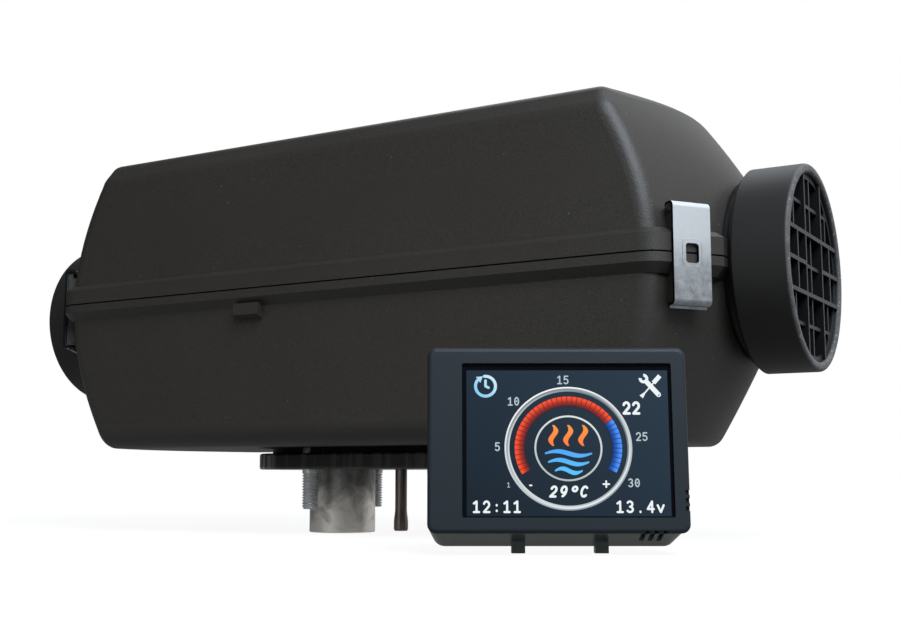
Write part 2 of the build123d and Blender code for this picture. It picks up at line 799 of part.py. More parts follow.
# ---------------------------------------------------------------- control unit on the motor
control_box = (44.0, 56.0)
control_x = 60.0
control_low = 79.0
control_top = 103.0
board_level = 94.0
with BuildPart() as control_housing:
    with BuildSketch(Plane.XY.offset(control_low)):
        with Locations((control_x, 0)):
            RectangleRounded(control_box[0], control_box[1], 3)
    extrude(amount=control_top - control_low)
    with BuildSketch(cross(housing_end)):
        Circle(motor_radius + seat_gap)
    extrude(amount=motor_end - housing_end + 20, mode=Mode.SUBTRACT)
    with BuildSketch(Plane.XY.offset(board_level)):
        with Locations((control_x, 0)):
            RectangleRounded(control_box[0] - 4, control_box[1] - 4, 1.5)
    extrude(amount=control_top - board_level, mode=Mode.SUBTRACT)
save(control_housing.part, "control_housing")

with BuildPart() as control_board:
    with BuildSketch(Plane.XY.offset(board_level)):
        with Locations((control_x, 0)):
            Rectangle(control_box[0] - 6, control_box[1] - 6)
    extrude(amount=1.6)
    with BuildSketch(Plane.XY.offset(board_level + 1.6)):
        with Locations((control_x - 10, -14), (control_x - 10, 0), (control_x - 10, 14)):
            Rectangle(8, 10)
        with Locations((control_x + 8, -8)):
            Rectangle(12, 12)
    extrude(amount=4.5)
save(control_board.part, "control_board")

# ---------------------------------------------------------------- touch panel
turn = radians(panel_turn)
lean = radians(panel_lean)
panel_across = (cos(turn), sin(turn), 0)
panel_out = (sin(turn) * cos(lean), -cos(turn) * cos(lean), sin(lean))
panel_plane = Plane(
    origin=(panel_foot[0], panel_foot[1], panel_front_low), x_dir=panel_across, z_dir=panel_out
)
panel_width, panel_height = panel_size
panel_wall = 1.8
panel_drop = 3.15           # the back is taller than the front, so its underside slopes
back_margin = 1.2
screen_recess = 1.0
display_thick = 3.4


def slab(front, back, low, high, width, corner, middle=0):
    """Block parallel to the panel's face, between two depths behind it and two heights."""
    with BuildPart() as block:
        with BuildSketch(panel_plane.offset(-back)):
            with Locations((middle, (low + high) / 2)):
                RectangleRounded(width, high - low, corner)
        extrude(amount=back - front)
    return block.part


face_web = 1.2
display_face = screen_recess + face_web
screen_low = screen_middle[1] - screen_size[1] / 2
screen_high = screen_middle[1] + screen_size[1] / 2
grip_low = 7.3
grip_pitch = 0.85
notch_low = 5.85
notch_pitch = 2.13
slot_sites = (23.4, 25.8, 28.2)
slot_width = 1.3
slot_end = 13.5

with BuildPart() as panel_bezel:
    with BuildSketch(panel_plane.offset(-panel_bezel_depth)):
        with Locations((0, panel_height / 2)):
            RectangleRounded(panel_width, panel_height, panel_corner)
    extrude(amount=panel_bezel_depth)
    front = panel_bezel.faces().sort_by(Axis(panel_plane.origin, panel_plane.z_dir))[-1]
    fillet(front.edges(), 1.2)
    add(
        slab(display_face, panel_bezel_depth, panel_wall, panel_height - panel_wall,
             panel_width - 2 * panel_wall, 1.2),
        mode=Mode.SUBTRACT,
    )
    add(
        slab(0, panel_bezel_depth, screen_low, screen_high, screen_size[0], 0.5,
             middle=screen_middle[0]),
        mode=Mode.SUBTRACT,
    )
    for number in range(3):
        low = notch_low + notch_pitch * number
        add(
            slab(-0.1, 6.6, low, low + 1.3, 2.6, 0.3, middle=panel_width / 2),
            mode=Mode.SUBTRACT,
        )
    for number in range(12):
        low = grip_low + grip_pitch * number
        add(
            slab(1.6, 6.8, low, low + 0.45, 0.8, 0.15, middle=-panel_width / 2),
            mode=Mode.SUBTRACT,
        )
    for site in slot_sites:
        add(slab(-0.1, panel_bezel_depth, -1, 0.8, slot_width, 0.3, middle=site), mode=Mode.SUBTRACT)
        add(slab(2.6, panel_bezel_depth, -1, 2.6, slot_width, 0.3, middle=site), mode=Mode.SUBTRACT)
save(panel_bezel.part, "panel_bezel")

with BuildPart() as panel_display:
    add(
        slab(display_face, display_face + display_thick, screen_low + 0.05, screen_high + 2.0,
             screen_size[0] + 1.2, 0.5, middle=screen_middle[0])
    )
    add(
        slab(screen_recess, display_face, screen_low + 0.05, screen_high - 0.05,
             screen_size[0] - 0.1, 0.45, middle=screen_middle[0])
    )
save(panel_display.part, "panel_display")

board_face = display_face + display_thick
board_thick = 1.6
with BuildPart() as panel_board:
    add(slab(board_face, board_face + board_thick, 4.2, panel_height - 4.2, panel_width - 8, 1))
    for middle, size in ((-20, 9), (-6, 6), (10, 12)):
        add(slab(board_face + board_thick, board_face + board_thick + 2.4, 14, 14 + size, 8, 0.3,
                 middle=middle))
save(panel_board.part, "panel_board")

# The back is a hollow tray. Its underside drops towards the floor, and the panel stands on two
# small feet at the lower back edge.
tray_low = -panel_drop
foot_sites = (-10.1, 12.8)
with BuildPart() as panel_back:
    with BuildSketch(panel_plane.offset(-panel_bezel_depth)):
        with Locations((0, panel_height / 2)):
            RectangleRounded(panel_width, panel_height, panel_corner)
    with BuildSketch(panel_plane.offset(-panel_depth)):
        with Locations((0, (panel_height - back_margin * 2 + tray_low) / 2)):
            RectangleRounded(
                panel_width - 2 * back_margin,
                panel_height - 2 * back_margin - tray_low,
                panel_corner + 1,
            )
    loft(ruled=True)
    add(
        slab(panel_bezel_depth, panel_depth - panel_wall, panel_wall,
             panel_height - back_margin * 2 - panel_wall,
             panel_width - 2 * (panel_wall + back_margin), 1.5),
        mode=Mode.SUBTRACT,
    )
    for site in slot_sites:
        add(slab(panel_bezel_depth - 1, slot_end, tray_low - 1, 2.6, slot_width, 0.3, middle=site),
            mode=Mode.SUBTRACT)
    for x in (-26, 26):
        for y in (5, panel_height - 8):
            add(slab(board_face + board_thick, panel_depth - 1, y - 2.5, y + 2.5, 5, 1, middle=x))
    add(slab(panel_depth - panel_wall - 1, panel_depth + 1, 16, 24, 16, 1), mode=Mode.SUBTRACT)
    for x in (-26, 26):
        for y in (5, panel_height - 8):
            with BuildSketch(panel_plane.offset(-panel_depth)):
                with Locations((x, y)):
                    Circle(1.3)
            extrude(amount=panel_depth - board_face - board_thick, mode=Mode.SUBTRACT)
    for x in foot_sites:
        add(slab(panel_depth - 4, panel_depth, tray_low - 4, tray_low + 2, 3.7, 0.8, middle=x))
    split(bisect_by=Plane.XY.offset(floor_z), keep=Keep.TOP)
save(panel_back.part, "panel_back")

with BuildPart() as panel_socket:
    add(slab(panel_depth - 6, panel_depth + 0.6, 16.05, 23.95, 15.9, 1))
    add(slab(panel_depth - 4.4, panel_depth + 1, 17.4, 22.6, 13.2, 0.5), mode=Mode.SUBTRACT)
    for x in (-3.75, -1.25, 1.25, 3.75):
        add(slab(panel_depth - 5, panel_depth - 0.6, 19.6, 20.4, 0.8, 0.2, middle=x))
save(panel_socket.part, "panel_socket")

with BuildPart() as panel_screws:
    for x in (-26, 26):
        for y in (5, panel_height - 8):
            with BuildSketch(panel_plane.offset(-panel_depth)):
                with Locations((x, y)):
                    Circle(1.25)
            extrude(amount=panel_depth - board_face - board_thick)
            with BuildSketch(panel_plane.offset(-panel_depth)):
                with Locations((x, y)):
                    Circle(2.4)
                    Rectangle(3.0, 0.7, mode=Mode.SUBTRACT)
            extrude(amount=-1.2)
save(panel_screws.part, "panel_screws")
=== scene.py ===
from math import cos, hypot, pi, radians, sin

import bpy
from mathutils import Matrix, Vector


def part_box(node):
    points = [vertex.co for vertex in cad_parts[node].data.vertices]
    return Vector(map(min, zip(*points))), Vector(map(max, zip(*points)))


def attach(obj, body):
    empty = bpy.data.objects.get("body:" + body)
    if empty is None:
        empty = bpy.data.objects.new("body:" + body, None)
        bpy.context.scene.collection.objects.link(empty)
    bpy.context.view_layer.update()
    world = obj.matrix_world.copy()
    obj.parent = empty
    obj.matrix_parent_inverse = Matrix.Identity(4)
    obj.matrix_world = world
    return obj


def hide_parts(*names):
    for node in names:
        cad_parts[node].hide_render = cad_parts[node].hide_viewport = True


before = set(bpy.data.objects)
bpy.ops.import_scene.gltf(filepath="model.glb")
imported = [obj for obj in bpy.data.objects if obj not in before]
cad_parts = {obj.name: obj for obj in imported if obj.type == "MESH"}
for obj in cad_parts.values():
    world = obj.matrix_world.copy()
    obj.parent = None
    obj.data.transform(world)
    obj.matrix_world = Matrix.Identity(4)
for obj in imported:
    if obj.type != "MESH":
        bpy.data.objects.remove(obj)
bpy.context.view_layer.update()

# ------------------------------------------------------------------ camera
# The heater is seen from the air inlet's side and a little below its middle, as a 50 mm lens on
# 36 mm film sees it. The camera looks up by 7.5 degrees.
camera_place = (0.25504, -0.40117, -0.0027)
look = Vector((-0.50089, 0.85560, 0.13063))
rightward = Vector((0.86299, 0.50522, 0.0))


def placement(place, across, up, out):
    """Matrix that puts something at a place, with its x, y and z along three directions."""
    return Matrix.Translation(place) @ Matrix((across, up, out)).transposed().to_4x4()


camera = bpy.data.objects.new("camera", bpy.data.cameras.new("camera"))
camera.data.lens = 50.46
camera.data.sensor_width = 36.0
camera.data.clip_start = 0.01
camera.matrix_world = placement(camera_place, rightward, rightward.cross(look), -look)
bpy.context.scene.collection.objects.link(camera)
bpy.context.scene.camera = camera
bpy.context.scene.view_settings.view_transform = "Standard"

# ------------------------------------------------------------------ lamps and room
# Four soft lamps: the key on the right, a weak fill in front, one above and behind, and a low strip
# for the pipes under the casing. In mirrors, white card stands behind the heater and to its right
# and the rest of the room is dim, so the long side stays dark and the inlet end catches the light.
for name, place, target, size, watts, tint in (
    ("key_right", (0.80, -0.68, 0.98), (0.1, 0, 0.07), (0.75, 0.75), 25, (0.82, 0.9, 1.0)),
    ("fill_front", (-0.30, -1.45, 0.60), (0, 0, 0.05), (1.4, 0.9), 1.5, (1.0, 0.96, 0.9)),
    ("top_back", (-0.1, 0.65, 1.15), (0, 0, 0.06), (1.2, 0.7), 4.0, (0.8, 0.89, 1.0)),
    ("low_strip", (-0.14, -0.85, -0.01), (-0.03, 0, -0.012), (0.45, 0.1), 0.32, (1.0, 0.99, 0.96)),
):
    lamp = bpy.data.lights.new(name, "AREA")
    lamp.shape = "RECTANGLE"
    lamp.size, lamp.size_y = size
    lamp.energy = watts
    lamp.color = tint
    holder = bpy.data.objects.new(name, lamp)
    holder.location = place
    holder.rotation_euler = (Vector(target) - Vector(place)).to_track_quat("-Z", "Y").to_euler()
    bpy.context.scene.collection.objects.link(holder)


def add_node(tree, kind, settings={}, values={}, links={}):
    """Adds a node with its settings, socket values and incoming links."""
    new = tree.nodes.new(kind)
    for name, value in settings.items():
        setattr(new, name, value)
    for name, value in values.items():
        new.inputs[name].default_value = value
    for name, socket in links.items():
        tree.links.new(socket, new.inputs[name])
    return new


card_side = (0.55, 0.80, 0.22)
ambient_level = 0.13
surroundings = bpy.data.worlds.new("white card and dim room")
surroundings.use_nodes = True
tree = surroundings.node_tree
tree.nodes.clear()
ray = add_node(tree, "ShaderNodeLightPath")
mirrored = add_node(tree, "ShaderNodeMath", {"operation": "MAXIMUM"},
                    links={0: ray.outputs["Is Glossy Ray"], 1: ray.outputs["Is Transmission Ray"]})
way = add_node(tree, "ShaderNodeTexCoord")
to_card = add_node(tree, "ShaderNodeVectorMath", {"operation": "DOT_PRODUCT"}, {1: card_side},
                   {0: way.outputs["Generated"]})
card = add_node(tree, "ShaderNodeMapRange", {"interpolation_type": "SMOOTHSTEP"},
                {"From Min": -0.08, "From Max": 0.36, "To Min": 0.05, "To Max": 0.85},
                {"Value": to_card.outputs["Value"]})
level = add_node(tree, "ShaderNodeMix", {"data_type": "FLOAT"}, {2: ambient_level},
                 {0: mirrored.outputs[0], 3: card.outputs[0]})
level = add_node(tree, "ShaderNodeMix", {"data_type": "FLOAT"}, {3: 1.0},
                 {0: ray.outputs["Is Camera Ray"], 2: level.outputs[0]})
room = add_node(tree, "ShaderNodeBackground", values={"Color": (1, 1, 1, 1)},
                links={"Strength": level.outputs[0]})
add_node(tree, "ShaderNodeOutputWorld", links={"Surface": room.outputs[0]})
bpy.context.scene.world = surroundings

# ------------------------------------------------------------------ floor
# The two pipe ends and the panel's feet stand on matt white card. The camera sees it almost white
# round the heater and white further out, mirrors see it mid grey, and it keeps a faint shadow.
floor_half = 6
floor_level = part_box("exhaust_pipe")[0][2]
dimmer_reach, white_reach = 0.25, 0.9
near_level, mirrored_level = 0.93, 0.24


def linear(hex_colour):
    """An sRGB hex colour as linear red, green, blue and alpha."""
    channels = [int(hex_colour[i : i + 2], 16) / 255 for i in (1, 3, 5)]
    return [c / 12.92 if c <= 0.04045 else ((c + 0.055) / 1.055) ** 2.4 for c in channels] + [1.0]


def bare_material(name):
    """New material and its node tree, with only the places on the object and the output in it."""
    material = bpy.data.materials.new(name)
    material.use_nodes = True
    tree = material.node_tree
    tree.nodes.clear()
    output = add_node(tree, "ShaderNodeOutputMaterial")
    return material, tree, add_node(tree, "ShaderNodeTexCoord"), output


floor_mesh = bpy.data.meshes.new("floor")
floor_corners = [(x * floor_half, y * floor_half, floor_level)
                 for x, y in ((-1, -1), (1, -1), (1, 1), (-1, 1))]
floor_mesh.from_pydata(floor_corners, [], [(0, 1, 2, 3)])
floor = bpy.data.objects.new("floor", floor_mesh)
bpy.context.scene.collection.objects.link(floor)

white_card, tree, place, output = bare_material("white card")
ray = add_node(tree, "ShaderNodeLightPath")
mirrored = add_node(tree, "ShaderNodeMath", {"operation": "MAXIMUM"},
                    links={0: ray.outputs["Is Glossy Ray"], 1: ray.outputs["Is Transmission Ray"]})
reach = add_node(tree, "ShaderNodeVectorMath", {"operation": "LENGTH"},
                 links={0: place.outputs["Object"]})
open_floor = add_node(tree, "ShaderNodeMapRange",
                      values={"From Min": dimmer_reach, "From Max": white_reach,
                              "To Min": near_level, "To Max": 1.0},
                      links={"Value": reach.outputs["Value"]})
seen = add_node(tree, "ShaderNodeMath", {"operation": "MULTIPLY"},
                links={0: ray.outputs["Is Camera Ray"], 1: open_floor.outputs[0]})
seen = add_node(tree, "ShaderNodeMath", {"operation": "MULTIPLY_ADD"}, {1: mirrored_level},
                {0: mirrored.outputs[0], 2: seen.outputs[0]})
paper = add_node(tree, "ShaderNodeBsdfDiffuse", values={"Color": linear("#585858")})
lit_paper = add_node(tree, "ShaderNodeEmission", values={"Color": (1, 1, 1, 1)},
                     links={"Strength": seen.outputs[0]})
both = add_node(tree, "ShaderNodeAddShader",
                links={0: paper.outputs[0], 1: lit_paper.outputs[0]})
tree.links.new(both.outputs[0], output.inputs["Surface"])
floor_mesh.materials.append(white_card)

# ------------------------------------------------------------------ casing
# Two shells of glass-filled nylon (polyamide), injection moulded in a mould with a spark-eroded
# surface. That gives a matte, near-black skin with a fine even grain. The moulding flow shows as
# soft clouds, and glass fibre at the surface as a few pale pinpricks. Handling has scuffed the top.
cloud_mm, pinprick_mm, rub_mm = 60.0, 9.0, 7.0
grain_mm, grain_share = 0.55, 0.35  # the real grain, about 0.1 mm, is too fine to show
top_edge_low, top_edge_high = 0.1155, 0.1165


def colour_stops(ramp, *stops):
    """Sets the stops of a colour ramp, each a place from 0 to 1 and a hex colour."""
    elements = ramp.color_ramp.elements
    elements.remove(elements[1])
    elements[0].position, elements[0].color = stops[0][0], linear(stops[0][1])
    for position, colour in stops[1:]:
        elements.new(position).color = linear(colour)


def dress(material, *nodes):
    """Gives these CAD nodes the material."""
    for name in nodes:
        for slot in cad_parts[name].material_slots:
            slot.material = material


moulded_nylon, tree, place, output = bare_material("glass-filled nylon, moulded")
clouds = add_node(tree, "ShaderNodeTexNoise", values={"Scale": 1000 / cloud_mm, "Detail": 4.0},
                  links={"Vector": place.outputs["Object"]})
tone = add_node(tree, "ShaderNodeValToRGB", links={"Fac": clouds.outputs["Fac"]})
colour_stops(tone, (0.3, "#292622"), (0.7, "#2e2b27"))
grain = add_node(tree, "ShaderNodeTexNoise", values={"Scale": 1000 / grain_mm, "Detail": 2.0},
                 links={"Vector": place.outputs["Object"]})
speckle = add_node(tree, "ShaderNodeValToRGB", links={"Fac": grain.outputs["Fac"]})
colour_stops(speckle, (0.35, "#201e1b"), (0.75, "#443f3a"))
skin = add_node(tree, "ShaderNodeMix", {"data_type": "RGBA"}, {0: grain_share},
                {6: tone.outputs["Color"], 7: speckle.outputs["Color"]})
fibres = add_node(tree, "ShaderNodeTexVoronoi", values={"Scale": 1000 / pinprick_mm},
                  links={"Vector": place.outputs["Object"]})
pinprick = add_node(tree, "ShaderNodeMapRange",
                    values={"From Min": 0.034, "From Max": 0.02, "To Min": 0.0, "To Max": 0.4},
                    links={"Value": fibres.outputs["Distance"]})
skin = add_node(tree, "ShaderNodeMix", {"data_type": "RGBA"}, {7: linear("#8a8885")},
                {0: pinprick.outputs[0], 6: skin.outputs[2]})
axes = add_node(tree, "ShaderNodeSeparateXYZ", links={"Vector": place.outputs["Object"]})
top_edge = add_node(tree, "ShaderNodeMapRange",
                    values={"From Min": top_edge_low, "From Max": top_edge_high},
                    links={"Value": axes.outputs["Z"]})
rubs = add_node(tree, "ShaderNodeTexNoise",
                values={"Scale": 1000 / rub_mm, "Detail": 8.0, "Roughness": 0.75},
                links={"Vector": place.outputs["Object"]})
rub_mask = add_node(tree, "ShaderNodeMapRange",
                    values={"From Min": 0.62, "From Max": 0.74, "To Min": 0.0, "To Max": 0.5},
                    links={"Value": rubs.outputs["Fac"]})
scuffed = add_node(tree, "ShaderNodeMath", {"operation": "MULTIPLY"},
                   links={0: top_edge.outputs[0], 1: rub_mask.outputs[0]})
skin = add_node(tree, "ShaderNodeMix", {"data_type": "RGBA"}, {7: linear("#9a9997")},
                {0: scuffed.outputs[0], 6: skin.outputs[2]})
sheen_patches = add_node(tree, "ShaderNodeMapRange", values={"To Min": 0.44, "To Max": 0.56},
                         links={"Value": clouds.outputs["Fac"]})
pits = add_node(tree, "ShaderNodeBump", values={"Strength": 0.8, "Distance": 0.0001},
                links={"Height": grain.outputs["Fac"]})
plastic = add_node(tree, "ShaderNodeBsdfPrincipled",
                   values={"IOR": 1.5, "Specular IOR Level": 0.5},
                   links={"Base Color": skin.outputs[2], "Roughness": sheen_patches.outputs[0],
                          "Normal": pits.outputs["Normal"]})
tree.links.new(plastic.outputs[0], output.inputs["Surface"])
dress(moulded_nylon, "upper_shell", "lower_shell")

# ------------------------------------------------------------------ duct rings
# The rings are moulded from the same nylon in a polished mould, so they are smoother. Ducts pushed
# over a ring have rubbed its rim to a lighter grey with pale chips.
scuff_mm, chip_mm = 2.2, 0.9
rim_start, rim_full = 0.1546, 0.1553

rubbed_nylon, tree, place, output = bare_material("glass-filled nylon, rubbed rim")
axes = add_node(tree, "ShaderNodeSeparateXYZ", links={"Vector": place.outputs["Object"]})
along = add_node(tree, "ShaderNodeMath", {"operation": "ABSOLUTE"}, links={0: axes.outputs["X"]})
near_rim = add_node(tree, "ShaderNodeMapRange",
                    values={"From Min": rim_start, "From Max": rim_full},
                    links={"Value": along.outputs[0]})
scuffs = add_node(tree, "ShaderNodeTexNoise",
                  values={"Scale": 1000 / scuff_mm, "Detail": 6.0, "Roughness": 0.7},
                  links={"Vector": place.outputs["Object"]})
scuff_mask = add_node(tree, "ShaderNodeMapRange",
                      values={"From Min": 0.3, "From Max": 0.7, "To Min": 0.3, "To Max": 1.0},
                      links={"Value": scuffs.outputs["Fac"]})
worn = add_node(tree, "ShaderNodeMath", {"operation": "MULTIPLY"},
                links={0: near_rim.outputs[0], 1: scuff_mask.outputs[0]})
skin = add_node(tree, "ShaderNodeMix", {"data_type": "RGBA"},
                {6: linear("#262524"), 7: linear("#6e6e6e")}, {0: worn.outputs[0]})
chips = add_node(tree, "ShaderNodeTexNoise",
                 values={"Scale": 1000 / chip_mm, "Detail": 3.0, "Roughness": 0.6},
                 links={"Vector": place.outputs["Object"]})
chip_mask = add_node(tree, "ShaderNodeMapRange", values={"From Min": 0.62, "From Max": 0.70},
                     links={"Value": chips.outputs["Fac"]})
chipped = add_node(tree, "ShaderNodeMath", {"operation": "MULTIPLY"},
                   links={0: near_rim.outputs[0], 1: chip_mask.outputs[0]})
skin = add_node(tree, "ShaderNodeMix", {"data_type": "RGBA"}, {7: linear("#b9b9b8")},
                {0: chipped.outputs[0], 6: skin.outputs[2]})
grain = add_node(tree, "ShaderNodeTexNoise", values={"Scale": 1000 / grain_mm, "Detail": 2.0},
                 links={"Vector": place.outputs["Object"]})
pits = add_node(tree, "ShaderNodeBump", values={"Strength": 0.3, "Distance": 0.00005},
                links={"Height": grain.outputs["Fac"]})
plastic = add_node(tree, "ShaderNodeBsdfPrincipled",
                   values={"Roughness": 0.5, "IOR": 1.5, "Specular IOR Level": 0.25},
                   links={"Base Color": skin.outputs[2], "Normal": pits.outputs["Normal"]})
tree.links.new(plastic.outputs[0], output.inputs["Surface"])
dress(rubbed_nylon, "inlet_ring", "outlet_ring")

# ------------------------------------------------------------------ finger guards
# One guard is snapped into each ring, moulded in the same smooth nylon. The outward faces of its
# bars are painted grey in patches as lit faces, and the sides of the bars are painted near black as
# shade.
front_patch_mm = 3.0

guard_nylon, tree, place, output = bare_material("glass-filled nylon, guard")
facing = add_node(tree, "ShaderNodeSeparateXYZ", links={"Vector": place.outputs["Normal"]})
outward = add_node(tree, "ShaderNodeMath", {"operation": "ABSOLUTE"},
                   links={0: facing.outputs["X"]})
# Painted light and shade by facing: bar fronts get the lighter grey tone, bar sides near black.
bar_front = add_node(tree, "ShaderNodeMapRange", values={"From Min": 0.6, "From Max": 0.95},
                     links={"Value": outward.outputs[0]})
front_patches = add_node(tree, "ShaderNodeTexNoise", values={"Scale": 1000 / front_patch_mm, "Detail": 5.0},
                   links={"Vector": place.outputs["Object"]})
rubbed = add_node(tree, "ShaderNodeMix", {"data_type": "RGBA"},
                  {6: linear("#1f2023"), 7: linear("#3c3e42")}, {0: front_patches.outputs["Fac"]})
skin = add_node(tree, "ShaderNodeMix", {"data_type": "RGBA"}, {6: linear("#0b0b0c")},
                {0: bar_front.outputs[0], 7: rubbed.outputs[2]})
plastic = add_node(tree, "ShaderNodeBsdfPrincipled",
                   values={"Roughness": 0.5, "IOR": 1.5, "Specular IOR Level": 0.25},
                   links={"Base Color": skin.outputs[2]})
tree.links.new(plastic.outputs[0], output.inputs["Surface"])
dress(guard_nylon, "inlet_grille", "outlet_grille")

# ------------------------------------------------------------------ spring clips
# Four clips of spring steel strip, stamped, bent and hooked over the belt. Cold rolling leaves a
# bright face with faint streaks. Its lower half is darker and spotted, partly as a painted
# reflection of the dark heater below, and the sheared edges are painted near black as the dim room
# they reflect.
streak_mm = (0.6, 0.6, 9)  # the real streaks, under 0.1 mm wide, are too fine to show
spot_mm = 3.0
darker_from, darkest_below = 0.070, 0.055

rolled_steel, tree, place, output = bare_material("spring steel, cold rolled")
streak_map = add_node(tree, "ShaderNodeMapping",
                      values={"Scale": [1000 / mm for mm in streak_mm]},
                      links={"Vector": place.outputs["Object"]})
streaks = add_node(tree, "ShaderNodeTexNoise", values={"Scale": 1.0, "Detail": 3.0},
                   links={"Vector": streak_map.outputs[0]})
spots = add_node(tree, "ShaderNodeTexNoise",
                 values={"Scale": 1000 / spot_mm, "Detail": 6.0, "Roughness": 0.72},
                 links={"Vector": place.outputs["Object"]})
axes = add_node(tree, "ShaderNodeSeparateXYZ", links={"Vector": place.outputs["Object"]})
# Partly painted reflection: the face darkens, with spots, towards the bottom.
lower_half = add_node(tree, "ShaderNodeMapRange", {"interpolation_type": "SMOOTHSTEP"},
                      {"From Min": darker_from, "From Max": darkest_below,
                       "To Min": 0.15, "To Max": 1.15},
                      {"Value": axes.outputs["Z"]})
low_spots_and_reflection = add_node(tree, "ShaderNodeMath", {"operation": "MULTIPLY", "use_clamp": True},
                   links={0: lower_half.outputs[0], 1: spots.outputs["Fac"]})
face = add_node(tree, "ShaderNodeMix", {"data_type": "RGBA"},
                {6: linear("#d2d7db"), 7: linear("#5a5d60")}, {0: low_spots_and_reflection.outputs[0]})
facing = add_node(tree, "ShaderNodeSeparateXYZ", links={"Vector": place.outputs["Normal"]})
sideways = add_node(tree, "ShaderNodeMath", {"operation": "ABSOLUTE"},
                    links={0: facing.outputs["Y"]})
# Painted reflection: faces of the strip that look sideways are painted near black.
painted_dark_edges = add_node(tree, "ShaderNodeMapRange", values={"From Min": 0.66, "From Max": 0.74},
                   links={"Value": sideways.outputs[0]})
face = add_node(tree, "ShaderNodeMix", {"data_type": "RGBA"}, {7: linear("#1b1c1d")},
                {0: painted_dark_edges.outputs[0], 6: face.outputs[2]})
gloss = add_node(tree, "ShaderNodeMapRange", values={"To Min": 0.4, "To Max": 0.58},
                 links={"Value": spots.outputs["Fac"]})
ripple = add_node(tree, "ShaderNodeBump", values={"Strength": 0.2, "Distance": 0.00005},
                  links={"Height": streaks.outputs["Fac"]})
steel = add_node(tree, "ShaderNodeBsdfPrincipled", values={"Metallic": 1.0},
                 links={"Base Color": face.outputs[2], "Roughness": gloss.outputs[0],
                        "Normal": ripple.outputs["Normal"]})
tree.links.new(steel.outputs[0], output.inputs["Surface"])
dress(rolled_steel, "clip_inlet_front", "clip_inlet_rear", "clip_outlet_front", "clip_outlet_rear")

# Stamping has raised a low rim round the window of each clip: a wire bent to the window's outline
# and sunk into the face until a sliver of it stands proud.
window_middle = Vector((0.130594, 0.045944, 0.0632))
clip_out = Vector((0.81106, 0.58496, 0.0))
rim_half_width, rim_half_height, rim_corner = 0.0034, 0.0042, 0.0014
rim_wire, rim_proud = 0.0007, 0.00007
corner_steps = 5
for name, side_x, side_y in (
    ("clip_inlet_front", 1, -1), ("clip_inlet_rear", 1, 1),
    ("clip_outlet_front", -1, -1), ("clip_outlet_rear", -1, 1),
):
    outward = Vector((side_x * clip_out.x, side_y * clip_out.y, 0.0))
    sideways = Vector((-outward.y, outward.x, 0.0))
    middle = Vector((side_x * window_middle.x, side_y * window_middle.y, window_middle.z))
    middle -= outward * (rim_wire - rim_proud)
    outline = []
    for corner, (sx, sz) in enumerate(((1, 1), (-1, 1), (-1, -1), (1, -1))):
        for step in range(corner_steps + 1):
            turn = radians(90 * (corner + step / corner_steps))
            outline.append((sx * (rim_half_width - rim_corner) + rim_corner * cos(turn),
                            sz * (rim_half_height - rim_corner) + rim_corner * sin(turn)))
    wire = bpy.data.curves.new(f"{name}_window_rim", "CURVE")
    wire.dimensions = "3D"
    wire.bevel_depth = rim_wire
    wire.bevel_resolution = 2
    run = wire.splines.new("POLY")
    run.points.add(len(outline) - 1)
    for point, (aside, up) in zip(run.points, outline):
        point.co = (*(middle + sideways * aside + Vector((0, 0, up))), 1)
    run.use_cyclic_u = True
    wire.materials.append(rolled_steel)
    rim = bpy.data.objects.new(f"{name}_window_rim", wire)
    bpy.context.scene.collection.objects.link(rim)
    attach(rim, name)

# ------------------------------------------------------------------ gasket and grommet
# Flange gasket and loom grommet of black EPDM rubber, compression moulded in a polished mould. The
# gasket's edge shines, with the upright ripples that the mould's cutter left, and their crests are
# painted pale at its two ends as reflected streaks. The grommet sits further out along the heater,
# so it gets the painted streaks too.
bloom_mm, ripple_mm = 9.0, (2.6, 2.6, 60)
ends_from, ends_full = 0.038, 0.05

moulded_rubber, tree, place, output = bare_material("EPDM rubber, moulded")
bloom = add_node(tree, "ShaderNodeTexNoise", values={"Scale": 1000 / bloom_mm, "Detail": 4.0},
                 links={"Vector": place.outputs["Object"]})
skin = add_node(tree, "ShaderNodeMix", {"data_type": "RGBA"},
                {6: linear("#0e0e0e"), 7: linear("#171717")}, {0: bloom.outputs["Fac"]})
ripple_map = add_node(tree, "ShaderNodeMapping",
                      values={"Scale": [1000 / mm for mm in ripple_mm]},
                      links={"Vector": place.outputs["Object"]})
ripples = add_node(tree, "ShaderNodeTexNoise", values={"Scale": 1.0, "Detail": 1.0},
                   links={"Vector": ripple_map.outputs[0]})
axes = add_node(tree, "ShaderNodeSeparateXYZ", links={"Vector": place.outputs["Object"]})
along = add_node(tree, "ShaderNodeMath", {"operation": "ABSOLUTE"}, links={0: axes.outputs["X"]})
ends = add_node(tree, "ShaderNodeMapRange",
                values={"From Min": ends_from, "From Max": ends_full, "To Min": 0.06},
                links={"Value": along.outputs[0]})
wave = add_node(tree, "ShaderNodeBump", values={"Distance": 0.0009},
                links={"Height": ripples.outputs["Fac"], "Strength": ends.outputs[0]})
crests = add_node(tree, "ShaderNodeMapRange", values={"From Min": 0.47, "From Max": 0.58},
                  links={"Value": ripples.outputs["Fac"]})
# Painted reflection: pale streaks on the ripple crests towards the two ends.
pale = add_node(tree, "ShaderNodeMath", {"operation": "MULTIPLY"},
                links={0: ends.outputs[0], 1: crests.outputs[0]})
skin = add_node(tree, "ShaderNodeMix", {"data_type": "RGBA"}, {7: linear("#cfcfcc")},
                {0: pale.outputs[0], 6: skin.outputs[2]})
rubber = add_node(tree, "ShaderNodeBsdfPrincipled",
                  values={"Roughness": 0.18, "IOR": 1.52, "Specular IOR Level": 0.5},
                  links={"Base Color": skin.outputs[2], "Normal": wave.outputs["Normal"]})
tree.links.new(rubber.outputs[0], output.inputs["Surface"])
dress(moulded_rubber, "flange_gasket", "cable_grommet")

